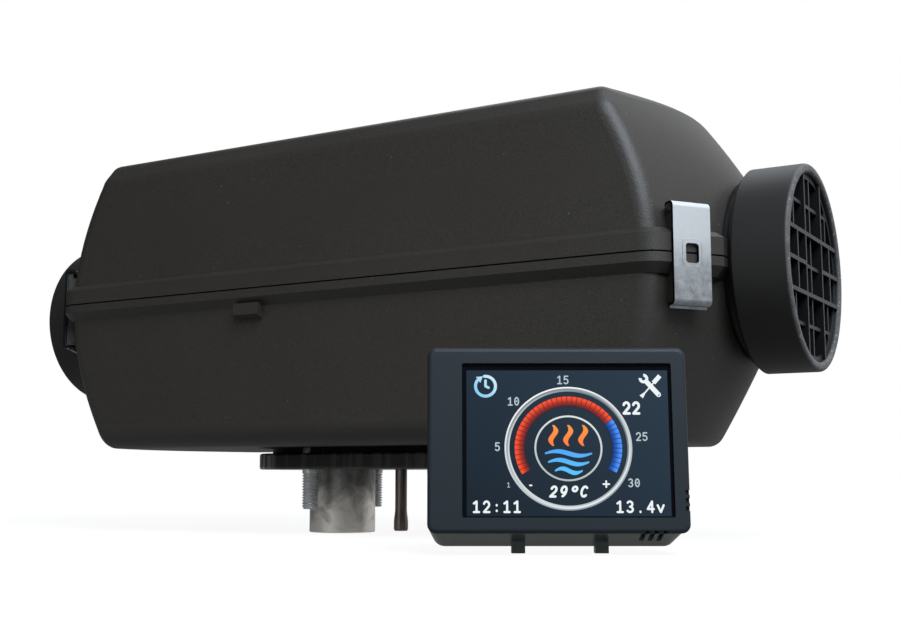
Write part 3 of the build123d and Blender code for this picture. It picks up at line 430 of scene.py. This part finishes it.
# ------------------------------------------------------------------ mounting studs
# Four M6 studs of steel, thread rolled, then zinc plated bright. Each has a short plain collar
# under the gasket, a rolled thread of 1 mm pitch with rounded crests, and a chamfered end.
stud_sites = [(x, y) for x in (-0.027, 0.027) for y in (-0.0215, 0.0215)]
stud_low, stud_high = (corner[2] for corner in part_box("mounting_studs"))
stud_radius, stud_root = 0.003, 0.00243
thread_pitch, thread_top, collar_edge = 0.001, -0.0013, 0.0001
flank_slope, root_flat = 1.35, 0.15
end_radius, chamfer_slope = stud_root - 0.0002, 1.2
around, rows_per_turn = 40, 10

heights = []
z = stud_low
while z < thread_top:
    heights.append(z)
    z += thread_pitch / rows_per_turn
heights += [thread_top, thread_top + collar_edge, stud_high]

verts, faces = [], []
for site_x, site_y in stud_sites:
    first = len(verts)
    for z in heights:
        for step in range(around):
            turn = 2 * pi * step / around
            phase = ((z - stud_low) / thread_pitch - step / around) % 1.0
            flank = min(1.0, max(0.0, flank_slope * (1 - abs(2 * phase - 1)) - root_flat))
            radius = stud_root + (stud_radius - stud_root) * flank
            if z >= thread_top:
                radius = stud_radius
            radius = min(radius, end_radius + (z - stud_low) * chamfer_slope)
            verts.append((site_x + radius * cos(turn), site_y + radius * sin(turn), z))
    for row in range(len(heights) - 1):
        for step in range(around):
            low, high = first + row * around, first + (row + 1) * around
            after = (step + 1) % around
            faces.append((low + step, low + after, high + after, high + step))
    faces.append([first + step for step in reversed(range(around))])
    faces.append([first + (len(heights) - 1) * around + step for step in range(around)])
thread_mesh = bpy.data.meshes.new("threaded_studs")
thread_mesh.from_pydata(verts, [], faces)
for polygon in thread_mesh.polygons:
    polygon.use_smooth = len(polygon.vertices) == 4
threaded_studs = bpy.data.objects.new("threaded_studs", thread_mesh)
bpy.context.scene.collection.objects.link(threaded_studs)
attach(threaded_studs, "heater")
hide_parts("mounting_studs")

# The plating's crystals show as faint patches, some brighter than others.
spangle_mm = 3.5
bright_zinc, tree, place, output = bare_material("steel, bright zinc plated")
spangle = add_node(tree, "ShaderNodeTexNoise", values={"Scale": 1000 / spangle_mm, "Detail": 3.0},
                   links={"Vector": place.outputs["Object"]})
tone = add_node(tree, "ShaderNodeMix", {"data_type": "RGBA"},
                {6: linear("#cfd1d3"), 7: linear("#f8fafc")}, {0: spangle.outputs["Fac"]})
gloss = add_node(tree, "ShaderNodeMapRange", values={"To Min": 0.34, "To Max": 0.48},
                 links={"Value": spangle.outputs["Fac"]})
zinc = add_node(tree, "ShaderNodeBsdfPrincipled", values={"Metallic": 0.75},
                links={"Base Color": tone.outputs[2], "Roughness": gloss.outputs[0]})
tree.links.new(zinc.outputs[0], output.inputs["Surface"])
thread_mesh.materials.append(bright_zinc)
dress(bright_zinc, "blower_screws", "panel_screws")

# ------------------------------------------------------------------ exhaust and air stubs
# Two stubs of stainless tube, welded into the foot. The weld's heat has scaled them to a mottled
# grey, and they turn paler, in cloudy patches, towards the mouth.
heat_cloud_mm, fine_scale_mm, fine_share = 8.0, 0.9, 0.3
pale_from, pale_full = -0.004, -0.0235

scaled_tube, tree, place, output = bare_material("stainless tube, heat scaled")
heat_clouds = add_node(tree, "ShaderNodeTexNoise",
                       values={"Scale": 1000 / heat_cloud_mm, "Detail": 6.0, "Roughness": 0.6,
                               "Distortion": 0.6},
                       links={"Vector": place.outputs["Object"]})
fine_scale = add_node(tree, "ShaderNodeTexNoise",
                      values={"Scale": 1000 / fine_scale_mm, "Detail": 5.0},
                      links={"Vector": place.outputs["Object"]})
axes = add_node(tree, "ShaderNodeSeparateXYZ", links={"Vector": place.outputs["Object"]})
to_mouth = add_node(tree, "ShaderNodeMapRange",
                    values={"From Min": pale_from, "From Max": pale_full,
                            "To Min": 0.02, "To Max": 0.5},
                    links={"Value": axes.outputs["Z"]})
paleness = add_node(tree, "ShaderNodeMath", {"operation": "ADD"},
                    links={0: heat_clouds.outputs["Fac"], 1: to_mouth.outputs[0]})
tone = add_node(tree, "ShaderNodeValToRGB", links={"Fac": paleness.outputs[0]})
colour_stops(tone, (0.38, "#747372"), (0.6, "#a3a19d"), (0.88, "#fffcf6"))
mottle = add_node(tree, "ShaderNodeMix", {"data_type": "RGBA", "blend_type": "OVERLAY"},
                  {0: fine_share}, {6: tone.outputs["Color"], 7: fine_scale.outputs["Fac"]})
gloss = add_node(tree, "ShaderNodeMapRange", values={"To Min": 0.36, "To Max": 0.62},
                 links={"Value": fine_scale.outputs["Fac"]})
rough = add_node(tree, "ShaderNodeBump", values={"Strength": 0.2, "Distance": 0.00008},
                 links={"Height": fine_scale.outputs["Fac"]})
tube = add_node(tree, "ShaderNodeBsdfPrincipled", values={"Metallic": 0.85},
                links={"Base Color": mottle.outputs[2], "Roughness": gloss.outputs[0],
                       "Normal": rough.outputs["Normal"]})
tree.links.new(tube.outputs[0], output.inputs["Surface"])
dress(scaled_tube, "exhaust_pipe", "intake_pipe")

# ------------------------------------------------------------------ fuel pipe
# Drawn steel tube with a swaged bead at its end, oiled against rust, so it's brown-grey with long
# faint draw lines. The real lines are too fine to show, so they are drawn 0.6 mm wide.


def two_tone(name, pattern_mm, detail, dark, pale, finish):
    """Material of two tones in a soft pattern, its size given in mm along x, y and z."""
    material, tree, place, output = bare_material(name)
    sized = add_node(tree, "ShaderNodeMapping",
                     values={"Scale": [1000 / mm for mm in pattern_mm]},
                     links={"Vector": place.outputs["Object"]})
    pattern = add_node(tree, "ShaderNodeTexNoise", values={"Scale": 1.0, "Detail": detail},
                       links={"Vector": sized.outputs[0]})
    tone = add_node(tree, "ShaderNodeMix", {"data_type": "RGBA"},
                    {6: linear(dark), 7: linear(pale)}, {0: pattern.outputs["Fac"]})
    surface = add_node(tree, "ShaderNodeBsdfPrincipled", values=finish,
                       links={"Base Color": tone.outputs[2]})
    tree.links.new(surface.outputs[0], output.inputs["Surface"])
    return material


drawn_steel = two_tone("steel tube, drawn and oiled", (0.6, 0.6, 25), 3.0, "#5c5651", "#958b84",
                       {"Metallic": 0.9, "Roughness": 0.36})
dress(drawn_steel, "fuel_pipe")

# ------------------------------------------------------------------ heat exchanger and housing
# The exchanger and the blower housing are pressure die cast aluminium, left as cast: pale grey,
# with a slightly uneven skin. The exchanger's foot, which shows under the casing, is painted near
# black as the shade in the gap there.
cast_skin_mm = 1.6
foot_full, foot_top = 0.0105, 0.0115

cast_aluminium, tree, place, output = bare_material("aluminium, die cast")
cast_skin = add_node(tree, "ShaderNodeTexNoise",
                     values={"Scale": 1000 / cast_skin_mm, "Detail": 5.0},
                     links={"Vector": place.outputs["Object"]})
tone = add_node(tree, "ShaderNodeMix", {"data_type": "RGBA"},
                {6: linear("#8f9090"), 7: linear("#b6b7b7")}, {0: cast_skin.outputs["Fac"]})
axes = add_node(tree, "ShaderNodeSeparateXYZ", links={"Vector": place.outputs["Object"]})
# Painted shade: the band of the foot under the casing is painted near black.
foot_shade = add_node(tree, "ShaderNodeMapRange", values={"From Min": foot_top, "From Max": foot_full},
                links={"Value": axes.outputs["Z"]})
tone = add_node(tree, "ShaderNodeMix", {"data_type": "RGBA"}, {7: linear("#161616")},
                {0: foot_shade.outputs[0], 6: tone.outputs[2]})
rough = add_node(tree, "ShaderNodeBump", values={"Strength": 0.4, "Distance": 0.0001},
                 links={"Height": cast_skin.outputs["Fac"]})
metal = add_node(tree, "ShaderNodeBsdfPrincipled", values={"Metallic": 1.0, "Roughness": 0.5},
                 links={"Base Color": tone.outputs[2], "Normal": rough.outputs["Normal"]})
tree.links.new(metal.outputs[0], output.inputs["Surface"])
dress(cast_aluminium, "heat_exchanger", "blower_housing", "combustion_impeller")

# ------------------------------------------------------------------ burner
# The burner's sheet parts and the plug are heat-resisting steel, which the flame has tinted straw
# to brown. The joint behind them is pressed graphite fibre, soft and dark grey with short flecks.
tint_mm, fleck_mm = 18.0, 1.5

tinted_steel, tree, place, output = bare_material("heat-resisting steel, flame tinted")
tint = add_node(tree, "ShaderNodeTexNoise", values={"Scale": 1000 / tint_mm, "Detail": 3.0},
                links={"Vector": place.outputs["Object"]})
tone = add_node(tree, "ShaderNodeValToRGB", links={"Fac": tint.outputs["Fac"]})
colour_stops(tone, (0.35, "#6e6a66"), (0.68, "#a08a66"))
steel = add_node(tree, "ShaderNodeBsdfPrincipled", values={"Metallic": 1.0, "Roughness": 0.42},
                 links={"Base Color": tone.outputs["Color"]})
tree.links.new(steel.outputs[0], output.inputs["Surface"])
dress(tinted_steel, "burner_head", "flame_tube", "glow_plug", "overheat_sensor")

pressed_fibre, tree, place, output = bare_material("graphite fibre, pressed")
flecks = add_node(tree, "ShaderNodeTexVoronoi", values={"Scale": 1000 / fleck_mm},
                  links={"Vector": place.outputs["Object"]})
tone = add_node(tree, "ShaderNodeMix", {"data_type": "RGBA"},
                {6: linear("#3a3a3b"), 7: linear("#555556")}, {0: flecks.outputs["Distance"]})
fibre = add_node(tree, "ShaderNodeBsdfPrincipled", values={"Roughness": 0.85},
                 links={"Base Color": tone.outputs[2]})
tree.links.new(fibre.outputs[0], output.inputs["Surface"])
dress(pressed_fibre, "burner_gasket")

# ------------------------------------------------------------------ blower and control box
# Motor can, bearings and shaft are turned steel, with rings round the axis that are drawn wider
# than the real ones. The fan and the control box are black nylon, moulded smooth. The boards are
# glass laminate, faintly woven under green solder lacquer.
turned_steel = two_tone("steel, turned", (0.7, 30, 30), 2.0, "#8b8d90", "#b4b6b8",
                        {"Metallic": 1.0, "Roughness": 0.32})
dress(turned_steel, "blower_motor", "motor_bearings", "rotor_shaft")

smooth_nylon = two_tone("nylon, moulded smooth", (12, 12, 12), 3.0, "#0e0e0f", "#151516",
                        {"Roughness": 0.5, "IOR": 1.53, "Specular IOR Level": 0.2})
dress(smooth_nylon, "air_impeller", "control_housing")

weave_mm = 0.8
lacquered_board, tree, place, output = bare_material("glass laminate, green lacquer")
weave = add_node(tree, "ShaderNodeTexChecker",
                 values={"Scale": 1000 / weave_mm, "Color1": linear("#0f4a2c"),
                         "Color2": linear("#135535")},
                 links={"Vector": place.outputs["Object"]})
lacquer = add_node(tree, "ShaderNodeBsdfPrincipled", values={"Roughness": 0.3, "IOR": 1.5},
                   links={"Base Color": weave.outputs["Color"]})
tree.links.new(lacquer.outputs[0], output.inputs["Surface"])
dress(lacquered_board, "control_board", "panel_board")

# ------------------------------------------------------------------ touch panel case
# A small display in an ABS case that stands on two feet. The front half is pigmented blue-black and
# moulded with a fine satin texture. The back half is the same ABS, painted a paler grey that stands
# in for the white floor's light on its underside, and its cable socket is unfilled nylon, off-white
# and slightly waxy.
satin_mm = 0.35  # the real texture, under 0.1 mm, is too fine to show

satin_abs, tree, place, output = bare_material("ABS, satin moulded")
grain = add_node(tree, "ShaderNodeTexNoise", values={"Scale": 1000 / satin_mm, "Detail": 2.0},
                 links={"Vector": place.outputs["Object"]})
tone = add_node(tree, "ShaderNodeMix", {"data_type": "RGBA"},
                {6: linear("#1b2227"), 7: linear("#232b31")}, {0: grain.outputs["Fac"]})
pits = add_node(tree, "ShaderNodeBump", values={"Strength": 0.2, "Distance": 0.00004},
                links={"Height": grain.outputs["Fac"]})
plastic = add_node(tree, "ShaderNodeBsdfPrincipled",
                   values={"Roughness": 0.5, "IOR": 1.53, "Specular IOR Level": 0.25},
                   links={"Base Color": tone.outputs[2], "Normal": pits.outputs["Normal"]})
tree.links.new(plastic.outputs[0], output.inputs["Surface"])
dress(satin_abs, "panel_bezel")

# Painted light: this paler grey stands in for the floor's light on the back half's underside.
abs_painted_floor_light = two_tone("ABS, grey", (satin_mm,) * 3, 2.0, "#808a89", "#8f9998",
                    {"Roughness": 0.25, "IOR": 1.53})
dress(abs_painted_floor_light, "panel_back")

plain_nylon = two_tone("nylon, unfilled", (3, 3, 3), 2.0, "#d8d4c6", "#e4e0d3",
                       {"Roughness": 0.4, "IOR": 1.53})
dress(plain_nylon, "panel_socket")

# Behind the three notches in the front half's right edge sit dark blocks of painted shade, so the
# notches read as deep and dark. The panel's own directions start at the middle of its lower front
# edge.
panel_turn, panel_lean = radians(30.35), radians(3.5)
panel_foot = Vector((0.1096, -0.09566, -0.01753))
panel_across = Vector((cos(panel_turn), sin(panel_turn), 0))
panel_out = Vector((
    sin(panel_turn) * cos(panel_lean), -cos(panel_turn) * cos(panel_lean), sin(panel_lean)))
panel_up = panel_out.cross(panel_across)
# Painted shade: three dark blocks, one behind each notch.
lowest_notch, notch_step, notch_height = 0.00585, 0.00213, 0.0013
shade_block_across, shade_block_depth, shade_block_lap = (0.0336, 0.03475), (0.0012, 0.0064), 0.0001
shade_block_verts, shade_block_faces = [], []
for notch in range(3):
    low = lowest_notch + notch * notch_step
    first = len(shade_block_verts)
    for across in shade_block_across:
        for up in (low - shade_block_lap, low + notch_height + shade_block_lap):
            for depth in shade_block_depth:
                shade_block_verts.append(
                    panel_foot + panel_across * across + panel_up * up - panel_out * depth)
    shade_block_faces += [[first + corner for corner in side] for side in (
        (0, 1, 3, 2), (4, 6, 7, 5), (0, 4, 5, 1), (2, 3, 7, 6), (0, 2, 6, 4), (1, 5, 7, 3))]
shade_block_mesh = bpy.data.meshes.new("notch_shade_blocks")
shade_block_mesh.from_pydata(shade_block_verts, [], shade_block_faces)
shade_block_mesh.materials.append(smooth_nylon)
notch_shade_blocks = bpy.data.objects.new("notch_shade_blocks", shade_block_mesh)
bpy.context.scene.collection.objects.link(notch_shade_blocks)
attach(notch_shade_blocks, "panel")

# ------------------------------------------------------------------ display
# A colour display behind bonded glass, masked black round its edge and faintly smeared by fingers.
# The lit part glows a dark navy that is palest towards the upper right.
smear_mm = 14.0
glass_depth, lit_across, lit_up = 0.001, 0.00275, 0.0240
lit_width, lit_height, lit_proud = 0.0543, 0.0390, 0.00003
lit_middle = panel_foot + panel_across * lit_across + panel_up * lit_up - panel_out * glass_depth
lit_place = placement(lit_middle, panel_across, panel_up, panel_out)

masked_glass, tree, place, output = bare_material("display glass, masked black")
smears = add_node(tree, "ShaderNodeTexNoise", values={"Scale": 1000 / smear_mm, "Detail": 4.0},
                  links={"Vector": place.outputs["Object"]})
film = add_node(tree, "ShaderNodeMapRange", values={"To Min": 0.08, "To Max": 0.16},
                links={"Value": smears.outputs["Fac"]})
glass = add_node(tree, "ShaderNodeBsdfPrincipled",
                 values={"Base Color": linear("#0a0d12"), "IOR": 1.5, "Specular IOR Level": 0.4},
                 links={"Roughness": film.outputs[0]})
tree.links.new(glass.outputs[0], output.inputs["Surface"])
dress(masked_glass, "panel_display")

lit_glass = {"Base Color": (0, 0, 0, 1), "Roughness": 0.12, "IOR": 1.5,
             "Specular IOR Level": 0.3, "Emission Strength": 1.0}


def light(name, dark, pale, span, reach):
    """Glowing material that goes from one colour to the other along span, over reach metres."""
    material, tree, place, output = bare_material(name)
    along = add_node(tree, "ShaderNodeVectorMath", {"operation": "DOT_PRODUCT"}, {1: span},
                     {0: place.outputs["Object"]})
    ramp = add_node(tree, "ShaderNodeMapRange", values={"From Min": -reach, "From Max": reach},
                    links={"Value": along.outputs["Value"]})
    glow = add_node(tree, "ShaderNodeMix", {"data_type": "RGBA"},
                    {6: linear(dark), 7: linear(pale)}, {0: ramp.outputs[0]})
    shine = add_node(tree, "ShaderNodeBsdfPrincipled", values=lit_glass,
                     links={"Emission Color": glow.outputs[2]})
    tree.links.new(shine.outputs[0], output.inputs["Surface"])
    return material


def flat_piece(name, outlines):
    """Flat object with one face for each outline."""
    mesh = bpy.data.meshes.new(name)
    faces, first = [], 0
    for outline in outlines:
        faces.append(list(range(first, first + len(outline))))
        first += len(outline)
    mesh.from_pydata([(x, y, 0) for outline in outlines for x, y in outline], [], faces)
    return bpy.data.objects.new(name, mesh)


def lay_on_screen(piece, x, y, proud, material, squash=1.0):
    """Lays a flat piece on the glass, x and y from the middle of the lit part."""
    bpy.context.scene.collection.objects.link(piece)
    spot = Matrix.Translation((x, y, proud)) @ Matrix.Diagonal((1, squash, 1, 1))
    piece.matrix_world = lit_place @ spot
    piece.data.materials.append(material)
    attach(piece, "panel")


columns, rows = 18, 13
cells = []
for column in range(columns):
    for row in range(rows):
        left, right = (lit_width * (k / columns - 0.5) for k in (column, column + 1))
        low, high = (lit_height * (k / rows - 0.5) for k in (row, row + 1))
        cells.append([(left, low), (right, low), (right, high), (left, high)])
lay_on_screen(flat_piece("lit_area", cells), 0, 0, lit_proud,
              light("navy light", "#1c2731", "#2f3e4d", (0.62, 0.78, 0), 0.034))

# ------------------------------------------------------------------ dial on the display
# The figures are flat shapes of light, just proud of the glass: a silver rim and hub ring, and
# between them a scale of 42 bars, red up to the set point and blue above it. The display's picture
# dots are a little wider than tall, which flattens its circles.
dial_x, dial_y = 0.0001, -0.0015
dial_squash = 0.965
figure_height = 0.00006


def arc(inner, outer, start, end, steps):
    """Outlines of a band between two radii, in degrees, one for each step."""
    bands = []
    for step in range(steps):
        a = radians(start + (end - start) * step / steps)
        b = radians(start + (end - start) * (step + 1) / steps)
        band = [(inner * cos(a), inner * sin(a)), (outer * cos(a), outer * sin(a)),
                (outer * cos(b), outer * sin(b)), (inner * cos(b), inner * sin(b))]
        bands.append(band if end > start else band[::-1])
    return bands


for name, inner, outer, dark, pale, span in (
    ("dial_rim_outer", 0.0167, 0.0171, "#94a2ad", "#ffffff", (-0.35, 0.94, 0)),
    ("dial_rim_middle", 0.0162, 0.0167, "#7c8a93", "#e8eef0", (0.5, -0.87, 0)),
    ("dial_rim_inner", 0.0158, 0.0162, "#d9e0e3", "#6f7a81", (0.8, 0.6, 0)),
    ("dial_hub_ring", 0.0086, 0.0091, "#9dacae", "#eef5f4", (0.2, 1, 0)),
):
    silver = light(f"{name} light", dark, pale, span, 0.017)
    lay_on_screen(flat_piece(name, arc(inner, outer, 0, 360, 120)), dial_x, dial_y,
                  figure_height, silver, dial_squash)

bar_tip, bar_root, bar_share = 0.0144, 0.0116, 0.86
scale_start, scale_end, scale_bars, set_bar = 209.9, -28.8, 42, 31
bar_turn = (scale_end - scale_start) / scale_bars
for name, first, last, tip, belly in (
    ("heat_bars", 0, set_bar, "#ff5533", "#b23325"),
    ("cool_bars", set_bar, scale_bars, "#4f97ff", "#2c5fc4"),
):
    bars = []
    for number in range(first, last):
        start = scale_start + bar_turn * number
        bars += arc(bar_root, bar_tip, start, start + bar_turn * bar_share, 2)
    fading, tree, place, output = bare_material(f"{name} light")
    from_hub = add_node(tree, "ShaderNodeVectorMath", {"operation": "LENGTH"},
                        links={0: place.outputs["Object"]})
    ramp = add_node(tree, "ShaderNodeMapRange", values={"From Min": bar_root, "From Max": bar_tip},
                    links={"Value": from_hub.outputs["Value"]})
    glow = add_node(tree, "ShaderNodeValToRGB", links={"Fac": ramp.outputs[0]})
    colour_stops(glow, (0.0, "#1c2630"), (0.45, belly), (0.85, tip))
    shine = add_node(tree, "ShaderNodeBsdfPrincipled", values=lit_glass,
                     links={"Emission Color": glow.outputs["Color"]})
    tree.links.new(shine.outputs[0], output.inputs["Surface"])
    lay_on_screen(flat_piece(name, bars), dial_x, dial_y, figure_height, fading, dial_squash)


def wavy_line(x, y, length, width, swing, upright):
    """Outlines of one wavy line, centred on x and y, thinner towards its ends."""
    steps, strips = 16, []
    for step in range(steps):
        ends = []
        for t in (step / steps, (step + 1) / steps):
            along, aside = (t - 0.5) * length, swing * sin(2 * pi * t)
            half = width * (0.35 + 0.65 * sin(pi * t)) / 2
            ends.append((along, aside - half, aside + half))
        (a, a0, a1), (b, b0, b1) = ends
        strip = [(a, a0), (b, b0), (b, b1), (a, a1)]
        if upright:
            strip = [(-v, u) for u, v in strip]
        strips.append([(x + u, y + v) for u, v in strip])
    return strips


# In the hub, three lines of rising heat over three of moving air say what the heater does.
heat_lines, air_lines = [], []
for x in (-0.0040, 0, 0.0040):
    heat_lines += wavy_line(x, 0.0034, length=0.0056, width=0.0016, swing=0.0007, upright=True)
for y, length in ((-0.0014, 0.0126), (-0.0037, 0.0110), (-0.0060, 0.0074)):
    air_lines += wavy_line(0, y, length, width=0.0013, swing=0.0006, upright=False)
lay_on_screen(flat_piece("heat_sign", heat_lines), dial_x, dial_y, figure_height,
              light("orange light", "#ff5a3c", "#ff9a4a", (0, 1, 0), 0.006))
lay_on_screen(flat_piece("air_sign", air_lines), dial_x, dial_y, figure_height,
              light("blue light", "#5cc4ff", "#4a7bf5", (0, 1, 0), 0.006))

# ------------------------------------------------------------------ numbers on the display
# Plain numbers: the scale, the set point, the room's temperature, the time and the supply voltage.
# Each figure is drawn with a round pen in a cell that is 0.6 wide and 1 high, and all cells of a
# number are the same size.


def bow(middle_x, middle_y, half_wide, half_high, start, end):
    """Points along part of an ellipse, in degrees."""
    turns = [radians(start + (end - start) * step / 14) for step in range(15)]
    return [(middle_x + half_wide * cos(t), middle_y + half_high * sin(t)) for t in turns]


pen_lines = {
    "0": [bow(0.3, 0.5, 0.21, 0.42, 0, 360), [(0.3, 0.46), (0.3, 0.54)]],
    "1": [[(0.1, 0.76), (0.32, 0.92), (0.32, 0.08)], [(0.1, 0.08), (0.52, 0.08)]],
    "2": [bow(0.3, 0.67, 0.21, 0.25, 165, -38) + [(0.09, 0.08), (0.53, 0.08)]],
    "3": [bow(0.28, 0.71, 0.2, 0.21, 150, -88), bow(0.28, 0.29, 0.23, 0.21, 88, -150)],
    "4": [[(0.43, 0.08), (0.43, 0.92), (0.07, 0.32), (0.56, 0.32)]],
    "5": [[(0.5, 0.92), (0.13, 0.92), (0.11, 0.54)] + bow(0.28, 0.34, 0.23, 0.26, 128, -145)],
    "9": [bow(0.3, 0.65, 0.21, 0.27, 0, 360), bow(0.14, 0.63, 0.37, 0.56, -2, -70)],
    "C": [bow(0.34, 0.5, 0.25, 0.42, 48, 312)],
    "v": [[(0.06, 0.62), (0.3, 0.08), (0.54, 0.62)]],
    "°": [bow(0.36, 0.72, 0.19, 0.19, 0, 360)],
    ":": [[(0.3, 0.16), (0.3, 0.2)], [(0.3, 0.6), (0.3, 0.64)]],
    ".": [[(0.3, 0.08), (0.3, 0.12)]],
    "-": [[(0.2, 0.45), (0.4, 0.45)]],
    "+": [[(0.02, 0.45), (0.58, 0.45)], [(0.3, 0.17), (0.3, 0.73)]],
}


def stroke(points, pen):
    """Outlines of a round-ended pen stroke through the points."""
    outlines = []
    for (ax, ay), (bx, by) in zip(points, points[1:]):
        half = pen / 2 / hypot(bx - ax, by - ay)
        nx, ny = -(by - ay) * half, (bx - ax) * half
        outlines.append([(ax + nx, ay + ny), (ax - nx, ay - ny),
                         (bx - nx, by - ny), (bx + nx, by + ny)])
    for x, y in points:
        outlines.append([(x + pen / 2 * cos(pi * step / 5), y + pen / 2 * sin(pi * step / 5))
                         for step in range(10)])
    return outlines


def written(words, height, pitch, pen, slant):
    """Outlines of a line of figures, centred on its middle."""
    outlines = []
    left = -pitch * (len(words) - 1) / 2
    for cell, figure in enumerate(words):
        for pen_line in pen_lines[figure]:
            points = [(left + cell * pitch + (x - 0.3 + slant * (y - 0.5)) * height,
                       (y - 0.5) * height) for x, y in pen_line]
            outlines += stroke(points, pen)
    return outlines


bright_light = light("white light", "#eef6f8", "#eef6f8", (0, 1, 0), 0.01)
dim_light = light("dim white light", "#bccbd3", "#bccbd3", (0, 1, 0), 0.01)
scale_size = (0.0024, 0.00175, 0.00034, 0)  # height, pitch, pen and slant
corner_size = (0.0033, 0.0027, 0.00056, 0)
for name, words, x, y, (height, pitch, pen, slant), material in (
    ("number_1", "1", -0.0160, -0.01125, (0.0014, 0.001, 0.00018, 0), dim_light),
    ("number_5", "5", -0.0189, -0.0011, scale_size, dim_light),
    ("number_10", "10", -0.0145, 0.0111, scale_size, dim_light),
    ("number_15", "15", -0.0011, 0.0169, scale_size, dim_light),
    ("number_22", "22", 0.0172, 0.0093, (0.0035, 0.0026, 0.00068, 0), bright_light),
    ("number_25", "25", 0.0198, 0.0016, scale_size, dim_light),
    ("number_30", "30", 0.0174, -0.0107, scale_size, dim_light),
    ("minus", "-", -0.0101, -0.01125, (0.0024, 0.002, 0.00042, 0), bright_light),
    ("plus", "+", 0.0100, -0.0109, (0.0028, 0.002, 0.00046, 0), bright_light),
    ("temperature", "29°C", 0.0000, -0.0130, (0.0031, 0.0027, 0.00062, 0.2), bright_light),
    ("clock_time", "12:11", -0.0192, -0.0170, corner_size, bright_light),
    ("supply_voltage", "13.4v", 0.0189, -0.0170, corner_size, bright_light),
):
    figures = flat_piece(name, written(words, height, pitch, pen, slant))
    lay_on_screen(figures, x, y, figure_height, material)

# ------------------------------------------------------------------ signs on the display
# The timer sign is an open ring with an arrow and two hands, and the service sign a wrench crossed
# with a screwdriver.
ring_points = bow(0, 0, 0.0027, 0.0027, -213, -60) + bow(0, 0, 0.0027, 0.0027, -58, 96)
timer_sign = stroke(ring_points, 0.0008)
timer_sign += [[(-0.0026, 0.0025), (-0.0014, 0.0009), (-0.0007, 0.0027)]]
timer_sign += stroke([(0, 0.0015), (0, 0), (0.0008, -0.0004)], 0.0007)
lay_on_screen(flat_piece("timer_sign", timer_sign), -0.0220, 0.0152, figure_height,
              light("cyan light", "#74c9f6", "#d4f4fc", (0.7, 0.7, 0), 0.004))


def turned(outlines, degrees_by):
    """The outlines turned about the sign's middle."""
    c, s = cos(radians(degrees_by)), sin(radians(degrees_by))
    return [[(x * c - y * s, x * s + y * c) for x, y in outline] for outline in outlines]


jaw_y, tail_y = 0.0028, -0.0031
wrench = [[(x, y + jaw_y) for x, y in outline] for outline in arc(0.0005, 0.0013, 130, 410, 14)]
wrench += [[(-0.00065, 0.0018), (-0.00065, tail_y), (0.00065, tail_y), (0.00065, 0.0018)]]
wrench += [[(x, y + tail_y) for x, y in outline] for outline in arc(0.0003, 0.00065, 0, 360, 14)]
screwdriver = [
    [(-0.0006, 0.0038), (-0.0006, 0.0012), (0.0006, 0.0012), (0.0006, 0.0038)],
    [(-0.0002, 0.0012), (-0.0002, -0.0024), (0.0002, -0.0024), (0.0002, 0.0012)],
    [(-0.0002, -0.0024), (-0.0006, -0.0039), (0.0006, -0.0039), (0.0002, -0.0024)],
]
lay_on_screen(flat_piece("service_sign", turned(wrench, 42) + turned(screwdriver, -42)),
              0.0226, 0.0152, figure_height, bright_light)
